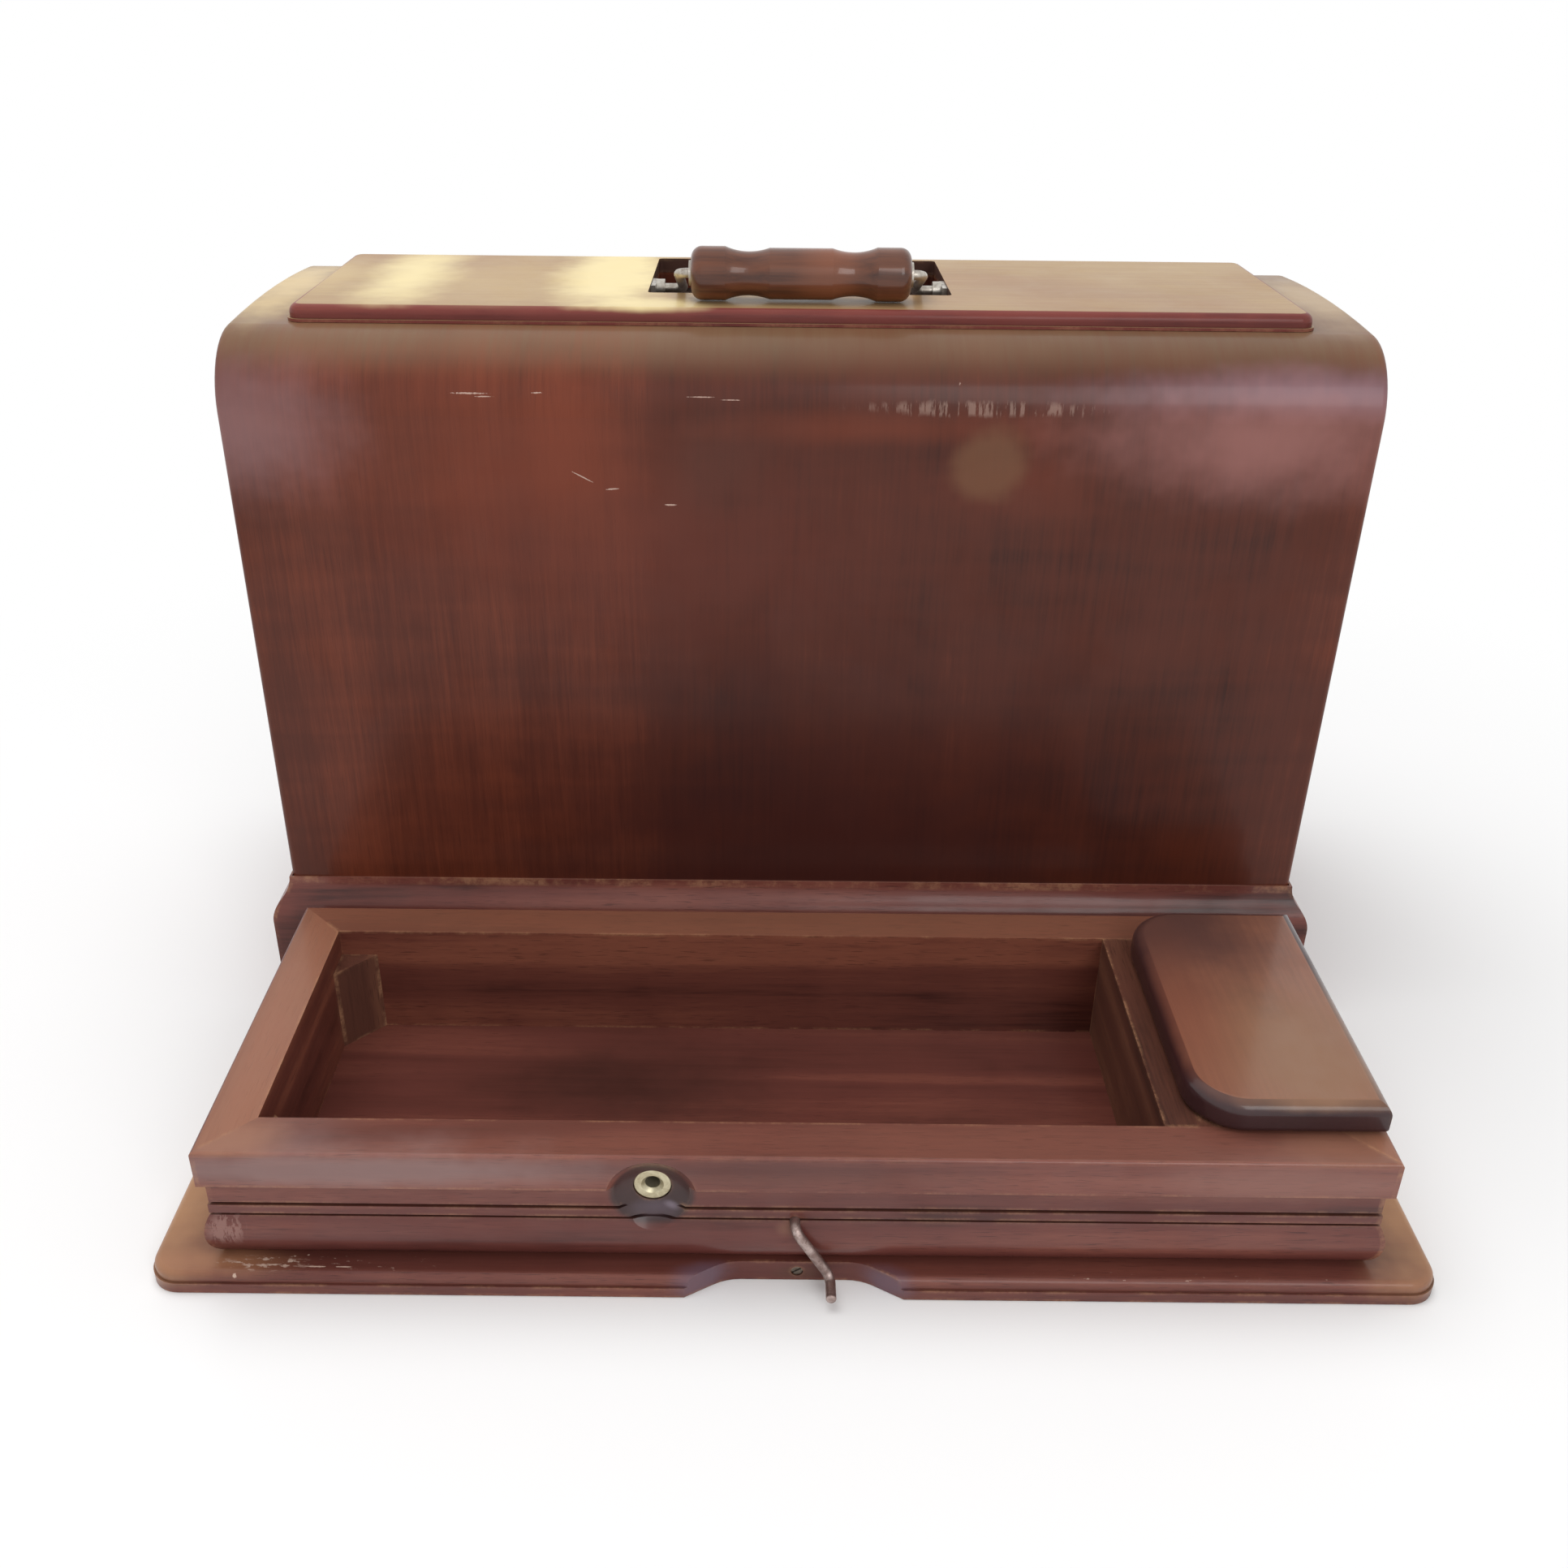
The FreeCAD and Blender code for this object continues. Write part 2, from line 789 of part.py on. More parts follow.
def make_ferrule(label, length):
    """Turned ring with a tube behind it; its seat is at y = 0 and its face at -y."""
    body = new_body(label)
    sketch = new_sketch(body, "XY_Plane")
    face = -dims.ferrule_flange_height
    add_path(sketch, [
        (dims.ferrule_bore, length),
        (dims.ferrule_bore, face + dims.ferrule_sink),
        (dims.ferrule_bore + dims.ferrule_sink, face),
        (dims.ferrule_flange - dims.ferrule_edge, face, dims.ferrule_edge, LEFT),
        (dims.ferrule_flange, face + dims.ferrule_edge),
        (dims.ferrule_flange, as_size(0.0)),
        (dims.ferrule_tube, as_size(0.0)),
        (dims.ferrule_tube, length),
    ])
    revolve(body, sketch, "V_Axis")
    return body


def make_lock_ferrule():
    body = make_ferrule("lock_socket_ferrule", dims.ferrule_length)
    seat = -frame_half_depth + dims.dish_depth + dims.ferrule_seat_depth
    put(body, dims.socket_x, seat, dims.socket_z)
    return body


parts += make_base_box()
parts += [make_partition(), make_corner_blocks(), make_lock_ferrule()]


# ---------------------------------------------------------------------------
# compartment lid and its two butt hinges

lid_left = partition_right - dims.lid_overlap
lid_right = frame_half_length - dims.lid_side_margin
lid_bottom = dims.frame_top + dims.lid_gap


def make_lid():
    """Solid board with two round corners on its open side and rounded edges."""
    body = new_body("compartment_lid")
    half = inner_half_depth + dims.lid_bearing
    radius = dims.lid_corner
    sketch = new_sketch(body, "XY_Plane")
    add_path(sketch, [
        (lid_left + radius, -half),
        (lid_right, -half),
        (lid_right, half),
        (lid_left + radius, half, radius, LEFT),
        (lid_left, half - radius),
        (lid_left, radius - half, radius, LEFT),
    ])
    pad(body, sketch, dims.lid_height)
    dress(body, "Fillet", dims.lid_top_round, lambda edge: level(edge, dims.lid_height))
    dress(body, "Fillet", dims.lid_under_round, lambda edge: level(edge, as_size(0.0)))
    seats = new_sketch(body, "XY_Plane")
    reach = frame_half_length - hinge_leaf_reach - dims.glue_gap
    half_leaf = dims.hinge_length / 2 + dims.glue_gap
    for place in hinge_places:
        add_path(seats, rectangle(reach, place - half_leaf, frame_half_length, place + half_leaf))
    pocket(body, seats, dims.hinge_leaf, reverse=True)
    for place in hinge_places:
        for spot in hinge_screw_spots:
            bore(body, dims.small_screw + dims.glue_gap, dims.small_screw_length,
                 hinge_screw_x, place + spot, 0.0, *UPWARD)
    put(body, 0.0, 0.0, lid_bottom)
    return body


def hinge_leaf(label, place, bottom, own_spans, pin_play, screw_face, way):
    """One leaf: a plate, its knuckles round the pin axis, the pin hole and screw holes."""
    half = dims.hinge_length / 2
    clear = hinge_x - dims.hinge_knuckle - dims.hinge_gap
    plate = box("plate", frame_half_length - hinge_leaf_reach, place - half, bottom,
                clear, place + half, bottom + dims.hinge_leaf)
    pieces = [plate]
    for start, end in own_spans:
        pieces.append(box("neck", clear, place + start, bottom, hinge_x, place + end,
                          bottom + dims.hinge_leaf))
        pieces.append(cylinder("knuckle", dims.hinge_knuckle, end - start, hinge_x,
                               place + start, hinge_z, *ALONG_Y))
    solid = fuse("leaf_solid", pieces)
    tools = [cylinder("pin_hole", dims.hinge_pin + pin_play, dims.hinge_length * 1.2, hinge_x,
                      place - half * 1.2, hinge_z, *ALONG_Y)]
    for spot in hinge_screw_spots:
        tools.append(small_screw("screw_hole", dims.glue_gap, hinge_screw_x, place + spot,
                                 screw_face, *way))
    return cut(label, solid, fuse("leaf_holes", tools))


def make_hinges():
    third = dims.hinge_length / 3
    half = dims.hinge_length / 2
    gap = dims.hinge_gap
    outer = ((-half, -(third / 2) - gap / 2), (third / 2 + gap / 2, half))
    middle = ((-(third / 2) + gap / 2, third / 2 - gap / 2),)
    base_leaves = []
    lid_leaves = []
    pins = []
    base_screws = []
    lid_screws = []
    base_bottom = dims.frame_top - dims.hinge_leaf
    for place in hinge_places:
        base_leaves.append(hinge_leaf("base_leaf", place, base_bottom, outer, dims.glue_gap,
                                      dims.frame_top, DOWNWARD))
        lid_leaves.append(hinge_leaf("lid_leaf", place, lid_bottom, middle, dims.hinge_play,
                                     lid_bottom, UPWARD))
        pins.append(cylinder("pin", dims.hinge_pin, dims.hinge_length, hinge_x, place - half,
                             hinge_z, *ALONG_Y))
        for spot in hinge_screw_spots:
            spot_y = place + spot
            base_screws.append(small_screw("base_screw", 0.0, hinge_screw_x, spot_y,
                                           dims.frame_top, *DOWNWARD))
            lid_screws.append(small_screw("lid_screw", 0.0, hinge_screw_x, spot_y,
                                          lid_bottom, *UPWARD))
    return [
        group("hinge_leaves_base", base_leaves),
        group("hinge_leaves_lid", lid_leaves),
        group("hinge_pins", pins),
        group("hinge_screws_base", base_screws),
        group("hinge_screws_lid", lid_screws),
    ]


parts += [make_lid()]
parts += make_hinges()


# ---------------------------------------------------------------------------
# turn latch: a bent steel rod through the front board, with a finger inside

latch_arm_y = -(dims.bead_bulge + dims.latch_clearance + dims.latch_rod)
washer_start = dims.board + dims.running_play * 4
finger_start = washer_start + dims.washer_thickness
nut_start = finger_start + dims.finger_thickness
rod_end = nut_start + dims.nut_height + 1.0
TILT = Vector(0, -1, 0)


def make_latch_rod():
    """Spindle, arm and finger stub bent from one rod, in the plane of the arm."""
    body = new_body("latch_lever")
    bend = dims.latch_bend
    path = new_sketch(body, "YZ_Plane")
    add_path(path, [
        (rod_end, as_size(0.0)),
        (latch_arm_y + bend, as_size(0.0), bend, LEFT),
        (latch_arm_y, -bend),
        (latch_arm_y, bend - dims.latch_arm, bend, RIGHT),
        (latch_arm_y - bend, -dims.latch_arm),
        (latch_arm_y - dims.latch_stub, -dims.latch_arm),
    ], closed=False)
    profile = new_sketch(body, "XZ_Plane", -rod_end)
    add_circle(profile, as_size(0.0), as_size(0.0), dims.latch_rod)
    doc.recompute()
    sweep(body, profile, path)
    tip = latch_arm_y - dims.latch_stub
    dress(body, "Fillet", dims.latch_end_round,
          lambda edge: near(edge.BoundBox.YMin, tip.value) and near(edge.BoundBox.YMax, tip.value))
    put(body, 0.0, -frame_half_depth, dims.latch_z, TILT, dims.latch_rest_angle)
    return body


def make_latch_finger():
    """Flat steel tongue on the spindle's inner end."""
    body = new_body("latch_finger")
    half = dims.finger_half_width
    sketch = new_sketch(body, "XZ_Plane")
    tip = dims.finger_length - half
    add_path(sketch, [
        (-half, as_size(0.0), half, LEFT),
        (as_size(0.0), -half, half, LEFT),
        (half, as_size(0.0)),
        (half, tip, half, LEFT),
        (as_size(0.0), dims.finger_length, half, LEFT),
        (-half, tip),
    ])
    add_circle(sketch, as_size(0.0), as_size(0.0), dims.latch_rod + dims.glue_gap)
    pad(body, sketch, dims.finger_thickness, reverse=True)
    put(body, 0.0, -frame_half_depth + finger_start, dims.latch_z, TILT, dims.finger_rest_angle)
    return body


def make_latch_washer():
    place = (0.0, -frame_half_depth + washer_start, dims.latch_z)
    disc = cylinder("disc", dims.washer_radius, dims.washer_thickness, *place, *ALONG_Y)
    hole = cylinder("hole", dims.latch_rod + dims.glue_gap, dims.washer_thickness, *place, *ALONG_Y)
    return cut("latch_washer", disc, hole)


def make_latch_nut():
    """Square nut, as cut from bar."""
    place = (0.0, -frame_half_depth + nut_start, dims.latch_z)
    blank = doc.addObject("Part::Prism", "blank")
    blank.Polygon = 4
    bind(blank, "Circumradius", dims.nut_radius * square_root(as_size(2.0)))
    bind(blank, "Height", dims.nut_height)
    put(blank, *place, *ALONG_Y)
    hole = cylinder("hole", dims.latch_rod + dims.glue_gap, dims.nut_height, *place, *ALONG_Y)
    return cut("latch_nut", blank, hole)


parts += [make_latch_rod(), make_latch_finger(), make_latch_washer(), make_latch_nut()]


# ---------------------------------------------------------------------------
# bentwood cover: shell, end panels and moulded skirt

cover_half_length = frame_half_length + dims.cover_fit + dims.end_panel
cover_half_depth = frame_half_depth + dims.cover_fit + dims.cover_wall
cover_y = plinth_half_depth + dims.cover_gap + dims.skirt_thickness + cover_half_depth
crown_centre = dims.cover_top - dims.crown_radius
shoulder_y = cover_half_depth - dims.shoulder_radius
shoulder_reach = dims.crown_radius - dims.shoulder_radius
shoulder_z = crown_centre + square_root(shoulder_reach * shoulder_reach - shoulder_y * shoulder_y)


def crown_height(inset, y):
    """Height of the crowned top, moved in by inset, at a distance y from its middle."""
    radius = dims.crown_radius - inset
    return crown_centre + square_root(radius * radius - y * y)


def shell_arch(inset):
    """Front foot, front shoulder, crown, back shoulder and back foot of the bent board."""
    half = cover_half_depth - inset
    shoulder = dims.shoulder_radius - inset
    crown = dims.crown_radius - inset
    meet_y = shoulder_y * crown / shoulder_reach
    meet_z = crown_centre + (shoulder_z - crown_centre) * crown / shoulder_reach
    return half, shoulder, crown, meet_y, meet_z


def arch_over(inset):
    half, shoulder, crown, meet_y, meet_z = shell_arch(inset)
    return [
        (-half, as_size(0.0)),
        (-half, shoulder_z, shoulder, RIGHT),
        (-meet_y, meet_z, crown, RIGHT),
        (meet_y, meet_z, shoulder, RIGHT),
        (half, shoulder_z),
        (half, as_size(0.0)),
    ]


def arch_back(inset):
    half, shoulder, crown, meet_y, meet_z = shell_arch(inset)
    return [
        (half, as_size(0.0)),
        (half, shoulder_z, shoulder, LEFT),
        (meet_y, meet_z, crown, LEFT),
        (-meet_y, meet_z, shoulder, LEFT),
        (-half, shoulder_z),
        (-half, as_size(0.0)),
    ]


socket_z_in_cover = dims.socket_z - dims.plinth_height
top_board_top = dims.cover_top + dims.top_board_rise
handle_z = top_board_top - dims.handle_below_top
well_floor_z = top_board_top - dims.well_depth
well_back = cover_half_depth - dims.top_board_side_margin - dims.well_back_rim
handle_rise = top_board_top + dims.grip_lobe + dims.grip_rest_gap - handle_z
handle_run = square_root(dims.handle_arm * dims.handle_arm - handle_rise * handle_rise)
eye_foot = well_floor_z - handle_z + dims.glue_gap
eye_head = dims.handle_below_top - dims.eye_below_top
eye_x = dims.well_length / 2 - dims.glue_gap
eye_face_x = eye_x - dims.eye_plate
eye_screw_places = (-(dims.eye_half_width * 0.65), dims.eye_half_width * 0.65)
eye_screw_z = -(dims.eye_boss + dims.small_screw_head)


def cut_window(body, floor=None):
    """The handle's opening, cut up from the given height, or right through."""
    sketch = new_sketch(body, "XY_Plane", floor)
    half = dims.well_length / 2
    add_path(sketch, rounded_rectangle(-half, -dims.well_front, half, well_back, dims.well_corner))
    pocket(body, sketch, reverse=True)


def make_shell():
    """One board bent over both shoulders, with the handle window and the latch pocket."""
    body = new_body("bentwood_shell")
    sketch = new_sketch(body, "YZ_Plane")
    add_path(sketch, arch_over(as_size(0.0)) + arch_back(dims.cover_wall))
    pad(body, sketch, cover_half_length * 2, symmetric=True)

    def end_arris(edge):
        outer = edge.BoundBox.YMin < -cover_half_depth.value + 0.1
        outer = outer or edge.BoundBox.YMax > cover_half_depth.value - 0.1
        outer = outer or edge.BoundBox.ZMax > dims.cover_top.value - 0.1
        flat = near(edge.BoundBox.XLength, 0.0) and edge.BoundBox.ZMax > dims.skirt_height.value
        return outer and flat

    dress(body, "Fillet", dims.cover_end_round, end_arris)
    cut_window(body)
    for sign, way in ((-1, AGAINST_X), (1, ALONG_X)):
        for place in eye_screw_places:
            bore(body, dims.small_screw + dims.glue_gap, dims.small_screw_length,
                 sign * eye_face_x, place, handle_z + eye_screw_z, *way)
    notch = new_sketch(body, "XZ_Plane")
    side = dims.pocket_width / 2
    corner = dims.pocket_round
    add_path(notch, [
        (-side, -corner),
        (side, -corner),
        (side, dims.pocket_height - corner, corner, LEFT),
        (side - corner, dims.pocket_height),
        (corner - side, dims.pocket_height, corner, LEFT),
        (-side, dims.pocket_height - corner),
    ])
    pocket(body, notch, reverse=True)
    bore(body, dims.ferrule_tube + dims.glue_gap, dims.cover_wall * 2, dims.socket_x,
         -cover_half_depth - dims.cover_wall / 2, socket_z_in_cover, *ALONG_Y)
    put(body, 0.0, cover_y, 0.0)
    return body


def make_end_panel(label, sign):
    """Flat board that closes one end of the shell, let in flush."""
    body = new_body(label)
    sketch = new_sketch(body, "YZ_Plane")
    add_path(sketch, arch_over(dims.cover_wall + dims.bend_gap))
    pad(body, sketch, dims.end_panel, symmetric=True)
    put(body, sign * (cover_half_length - dims.end_panel / 2), cover_y, 0.0)
    return body


def skirt_profile():
    """Flat skirt with an ogee along its top and a thin lip against the shell."""
    run = dims.skirt_ogee_height
    drop = dims.skirt_thickness - dims.skirt_lip
    bend = (run * run + drop * drop) / (drop * 4)
    top = dims.skirt_height
    return [
        (dims.skirt_thickness, as_size(0.0)),
        (dims.skirt_thickness, top),
        (drop, top, bend, RIGHT),
        (drop / 2, top - run / 2, bend, LEFT),
        (as_size(0.0), top - run),
        (as_size(0.0), dims.skirt_arris, dims.skirt_arris, LEFT),
        (dims.skirt_arris, as_size(0.0)),
    ]


def make_skirt():
    profile = skirt_profile()
    half_length = cover_half_length + dims.skirt_thickness
    half_depth = cover_half_depth + dims.skirt_thickness
    names = ("skirt_front", "skirt_back", "skirt_left", "skirt_right")
    halves = (half_length, half_length, half_depth, half_depth)
    boards = [
        mitred_board(name, profile, half * 2, dims.skirt_thickness, as_size(0.0))
        for name, half in zip(names, halves)
    ]
    flange_seat = dims.ferrule_flange_height / 2
    bore(boards[0], dims.ferrule_flange + dims.glue_gap, flange_seat * 2, dims.socket_x,
         -flange_seat, socket_z_in_cover, *ALONG_Y)
    bore(boards[0], dims.ferrule_tube + dims.glue_gap, dims.skirt_thickness, dims.socket_x,
         0.0, socket_z_in_cover, *ALONG_Y)
    stand_round(boards, half_length, half_depth, cover_y, as_size(0.0))
    return boards


def make_cover_ferrule():
    """Lines the hole in the cover that meets the base's socket when the case is shut."""
    seat = dims.ferrule_flange_height / 2
    length = dims.skirt_thickness + dims.cover_wall - seat
    body = make_ferrule("cover_lock_ferrule", length)
    put(body, dims.socket_x, cover_y - cover_half_depth - dims.skirt_thickness + seat,
        socket_z_in_cover)
    return body


parts += [make_shell(), make_end_panel("end_panel_left", -1), make_end_panel("end_panel_right", 1)]
parts += make_skirt()
parts += [make_cover_ferrule()]


# ---------------------------------------------------------------------------
# top board and the floor of the handle well


def make_top_board():
    """Moulded board, hollowed underneath to sit on the crown, with the handle's window."""
    body = new_body("top_board")
    stock_foot = top_board_top - dims.top_board_stock
    step_z = top_board_top - dims.top_board_step_height
    half_length = cover_half_length - dims.top_board_end_margin
    half_depth = cover_half_depth - dims.top_board_side_margin
    corner = dims.top_board_corner
    step = dims.top_board_step
    lower = new_sketch(body, "XY_Plane", stock_foot)
    add_path(lower, rounded_rectangle(-half_length, -half_depth, half_length, half_depth, corner))
    pad(body, lower, dims.top_board_stock - dims.top_board_step_height)
    upper = new_sketch(body, "XY_Plane", step_z)
    add_path(upper, rounded_rectangle(step - half_length, step - half_depth, half_length - step,
                                      half_depth - step, corner - step))
    pad(body, upper, dims.top_board_step_height)
    dress(body, "Fillet", dims.top_board_round, lambda edge: level(edge, top_board_top))
    crown = new_sketch(body, "YZ_Plane")
    lift = -dims.bend_gap
    rim = crown_height(lift, half_depth)
    foot = stock_foot - 1.0
    add_path(crown, [
        (-half_depth, foot),
        (half_depth, foot),
        (half_depth, rim, dims.crown_radius - lift, LEFT),
        (-half_depth, rim),
    ])
    pocket(body, crown, symmetric=True)
    cut_window(body)
    put(body, 0.0, cover_y, 0.0)
    return body


def make_handle_well():
    """Board under the window, hollowed so that fingers reach round the grip."""
    body = new_body("handle_well")
    front = -dims.well_front - dims.well_wall
    back = well_back + dims.well_wall
    foot = well_floor_z - dims.well_floor
    inset = dims.cover_wall + dims.bend_gap
    sketch = new_sketch(body, "YZ_Plane")
    add_path(sketch, [
        (front, foot),
        (back, foot),
        (back, crown_height(inset, back), dims.crown_radius - inset, LEFT),
        (front, crown_height(inset, front)),
    ])
    pad(body, sketch, dims.well_length + dims.well_wall * 2, symmetric=True)
    cut_window(body, well_floor_z)
    put(body, 0.0, cover_y, 0.0)
    return body


def make_eye(label, sign):
    """Plate on the well's end wall with a boss that the bail's foot turns in."""
    body = new_body(label)
    half = dims.eye_half_width
    plate = new_sketch(body, "YZ_Plane")
    add_path(plate, rectangle(-half, eye_foot, half, eye_head))
    pad(body, plate, dims.eye_plate)
    boss = new_sketch(body, "YZ_Plane", dims.eye_plate)
    add_circle(boss, as_size(0.0), as_size(0.0), dims.eye_boss)
    pad(body, boss, dims.eye_boss_length)
    hole = new_sketch(body, "YZ_Plane")
    add_circle(hole, as_size(0.0), as_size(0.0), dims.handle_wire + dims.eye_play)
    pocket(body, hole, reverse=True)
    screws = new_sketch(body, "YZ_Plane")
    for place in eye_screw_places:
        add_circle(screws, place, eye_screw_z, dims.small_screw + dims.glue_gap)
    pocket(body, screws, reverse=True)

    def screw_mouth(edge):
        mouth = near(edge.BoundBox.XMin, dims.eye_plate.value) and edge.isClosed()
        return mouth and edge.BoundBox.ZLength < dims.small_screw_head.value * 1.5

    dress(body, "Chamfer", dims.small_screw_head - dims.small_screw, screw_mouth)
    angle = 0.0 if sign < 0 else 180.0
    put(body, sign * eye_x, cover_y, handle_z, angle=angle)
    return body


def make_eye_screws():
    """Two screws in each eye plate; they hold in the shell beside its window."""
    screws = []
    for sign, way in ((-1, AGAINST_X), (1, ALONG_X)):
        for place in eye_screw_places:
            screws.append(small_screw("eye_screw", 0.0, sign * eye_face_x, cover_y + place,
                                      handle_z + eye_screw_z, *way))
    return group("bail_eye_screws", screws)


parts += [make_top_board(), make_handle_well()]
parts += [make_eye("bail_eye_left", -1), make_eye("bail_eye_right", 1), make_eye_screws()]


# ---------------------------------------------------------------------------
# folding handle

LIFTED = Vector(-1, 0, 0)
foot_start = eye_face_x - dims.eye_boss_length - dims.handle_side_gap
handle_half_width = foot_start - dims.handle_foot - dims.handle_foot_bend
bail_foot_x = eye_x - dims.bail_end_play
grip_half = (handle_half_width - dims.handle_grip_bend - dims.grip_washer_thickness
             - dims.grip_end_play)


def make_bail():
    """Steel wire bent to a bail that leans forward, its feet turned outwards into the eyes."""
    body = new_body("bail_wire")
    arm = dims.handle_arm
    half = handle_half_width
    foot = dims.handle_foot_bend
    bend = dims.handle_grip_bend
    zero = as_size(0.0)
    path = new_sketch(body, "XY_Plane")
    add_path(path, [
        (-bail_foot_x, zero),
        (-half - foot, zero, foot, RIGHT),
        (-half, -foot),
        (-half, bend - arm, bend, LEFT),
        (bend - half, -arm),
        (half - bend, -arm, bend, LEFT),
        (half, bend - arm),
        (half, -foot, foot, RIGHT),
        (half + foot, zero),
        (bail_foot_x, zero),
    ], closed=False)
    profile = new_sketch(body, "YZ_Plane", -bail_foot_x)
    add_circle(profile, zero, zero, dims.handle_wire)
    doc.recompute()
    sweep(body, profile, path)
    put(body, 0.0, cover_y, handle_z, LIFTED, arc_sine(handle_rise / dims.handle_arm))
    return body


def make_grip():
    """Turned wooden grip: a lobe at each end, a neck beside it and a long belly."""
    body = new_body("handle_grip")
    sketch = new_sketch(body, "XY_Plane")
    hole = dims.handle_wire + dims.running_play
    end = grip_half
    crest = end - dims.grip_end_round
    inner = end - dims.grip_lobe_width
    neck = dims.grip_neck_place
    middle = dims.grip_middle
    lobe = dims.grip_lobe
    belly = dims.grip_belly
    rise = lobe - dims.grip_end
    end_bend = (rise * rise + dims.grip_end_round * dims.grip_end_round) / (rise * 2)
    slope = lobe - dims.grip_neck
    swell = belly - dims.grip_neck
    outer_run = inner - neck
    inner_run = neck - middle
    outer_bend = (outer_run * outer_run + slope * slope) / (slope * 2)
    inner_bend = (inner_run * inner_run + swell * swell) / (swell * 2)
    add_path(sketch, [
        (-end, hole),
        (end, hole),
        (end, dims.grip_end, end_bend, LEFT),
        (crest, lobe),
        (inner, lobe, outer_bend, RIGHT),
        (neck, dims.grip_neck, inner_bend, RIGHT),
        (middle, belly),
        (-middle, belly, inner_bend, RIGHT),
        (-neck, dims.grip_neck, outer_bend, RIGHT),
        (-inner, lobe),
        (-crest, lobe, end_bend, LEFT),
        (-end, dims.grip_end),
    ])
    revolve(body, sketch, "H_Axis")
    put(body, 0.0, cover_y - handle_run, handle_z + handle_rise)
    return body


def make_grip_washers():
    washers = []
    thickness = dims.grip_washer_thickness
    y = cover_y - handle_run
    z = handle_z + handle_rise
    for sign in (-1, 1):
        start = sign * grip_half - thickness * max(-sign, 0)
        disc = cylinder("disc", dims.grip_washer, thickness, start, y, z, *ALONG_X)
        hole = cylinder("hole", dims.handle_wire + dims.running_play, thickness, start, y, z, *ALONG_X)
        washers.append(cut("grip_washer", disc, hole))
    return group("grip_washers", washers)


parts += [make_bail(), make_grip(), make_grip_washers()]


# ---------------------------------------------------------------------------
# check the document and write one file for each piece

doc.recompute()
for item in doc.Objects:
    if "Invalid" in item.State or "Error" in item.State:
        raise ValueError("%s failed: %s" % (item.Label, item.State))
for part in parts:
    if part.Shape.isNull() or not part.Shape.isValid():
        raise ValueError("%s has no valid shape" % part.Label)

os.makedirs("parts", exist_ok=True)
for part in parts:
    part.Shape.exportStep("parts/%s.step" % part.Label)
    print("%-24s solids %d  volume %.0f" % (part.Label, len(part.Shape.Solids), part.Shape.Volume))
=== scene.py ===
# %% [markdown]
# # The box of an old sewing machine
#
# This lesson dresses a box in two parts: a low mahogany base with a well for
# the machine, and a tall cover whose front, top and back are one sheet of bent
# plywood. The solid parts are already made and packed, so the script loads them
# first and gives them their finishes. Each step below is one finish or one
# small piece of work: the base comes first, then the cover with its grip, then
# the inside and the metal, and last the studio and the camera.

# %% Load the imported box
import math

import bmesh
import bpy
from mathutils import Matrix, Vector


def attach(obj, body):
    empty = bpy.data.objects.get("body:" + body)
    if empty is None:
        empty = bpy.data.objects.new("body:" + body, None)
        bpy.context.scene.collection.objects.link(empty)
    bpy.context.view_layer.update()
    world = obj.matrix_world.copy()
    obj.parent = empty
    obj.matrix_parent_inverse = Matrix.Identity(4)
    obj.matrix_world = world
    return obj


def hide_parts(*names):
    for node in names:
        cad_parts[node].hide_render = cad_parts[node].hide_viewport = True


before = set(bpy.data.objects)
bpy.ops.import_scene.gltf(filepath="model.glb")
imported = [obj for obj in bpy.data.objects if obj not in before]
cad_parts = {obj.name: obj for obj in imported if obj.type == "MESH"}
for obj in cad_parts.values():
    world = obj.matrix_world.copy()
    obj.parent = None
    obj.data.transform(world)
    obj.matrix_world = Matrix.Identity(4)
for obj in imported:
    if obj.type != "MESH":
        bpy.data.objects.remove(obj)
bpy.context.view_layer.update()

# %% [markdown]
# ## Small helpers for laying out a finish
#
# A finish is a tree of shader nodes. Writing each node out takes four or five
# lines, so these helpers shorten it to one: `lay` places a node and joins what
# feeds it, `reckon` does a sum on numbers and `reckon_vector` one on vectors,
# `span` stretches a value to a new range, `mottle` makes cloudy noise, and
# `stain` lays one tone over another.

# %% Helpers that place and join nodes
def join(tree, feed, socket):
    """Feeds a socket from another node, or sets its value."""
    if isinstance(feed, bpy.types.NodeSocket):
        tree.links.new(feed, socket)
    else:
        socket.default_value = feed


def lay(tree, kind, feeds, **settings):
    """Places one shader node, sets it and joins what feeds it."""
    placed = tree.nodes.new("ShaderNode" + kind)
    for name, value in settings.items():
        setattr(placed, name, value)
    for socket, feed in feeds.items():
        join(tree, feed, placed.inputs[socket])
    return placed


print("nodes can be placed and joined")


# %% Helpers for sums, ranges and noise
def reckon(tree, operation, *feeds):
    """One sum on numbers."""
    return lay(tree, "Math", dict(enumerate(feeds)), operation=operation).outputs[0]


def reckon_vector(tree, operation, *feeds):
    """One sum on vectors. A length and a dot product are numbers, the rest are vectors."""
    sums = lay(tree, "VectorMath", dict(enumerate(feeds)), operation=operation).outputs
    return sums["Value"] if operation in ("LENGTH", "DOT_PRODUCT") else sums["Vector"]


def span(tree, value, low, high, to_low=0.0, to_high=1.0):
    """Stretches the values from low to high over a new range, softly."""
    feeds = {0: value, 1: low, 2: high, 3: to_low, 4: to_high}
    return lay(tree, "MapRange", feeds, interpolation_type="SMOOTHSTEP").outputs[0]


def mottle(tree, place, scale, detail=3.0, roughness=0.55, distortion=0.0):
    """Cloudy noise, from 0 to 1."""
    feeds = {"Vector": place, "Scale": scale, "Detail": detail}
    feeds["Roughness"] = roughness
    feeds["Distortion"] = distortion
    return lay(tree, "TexNoise", feeds).outputs[0]


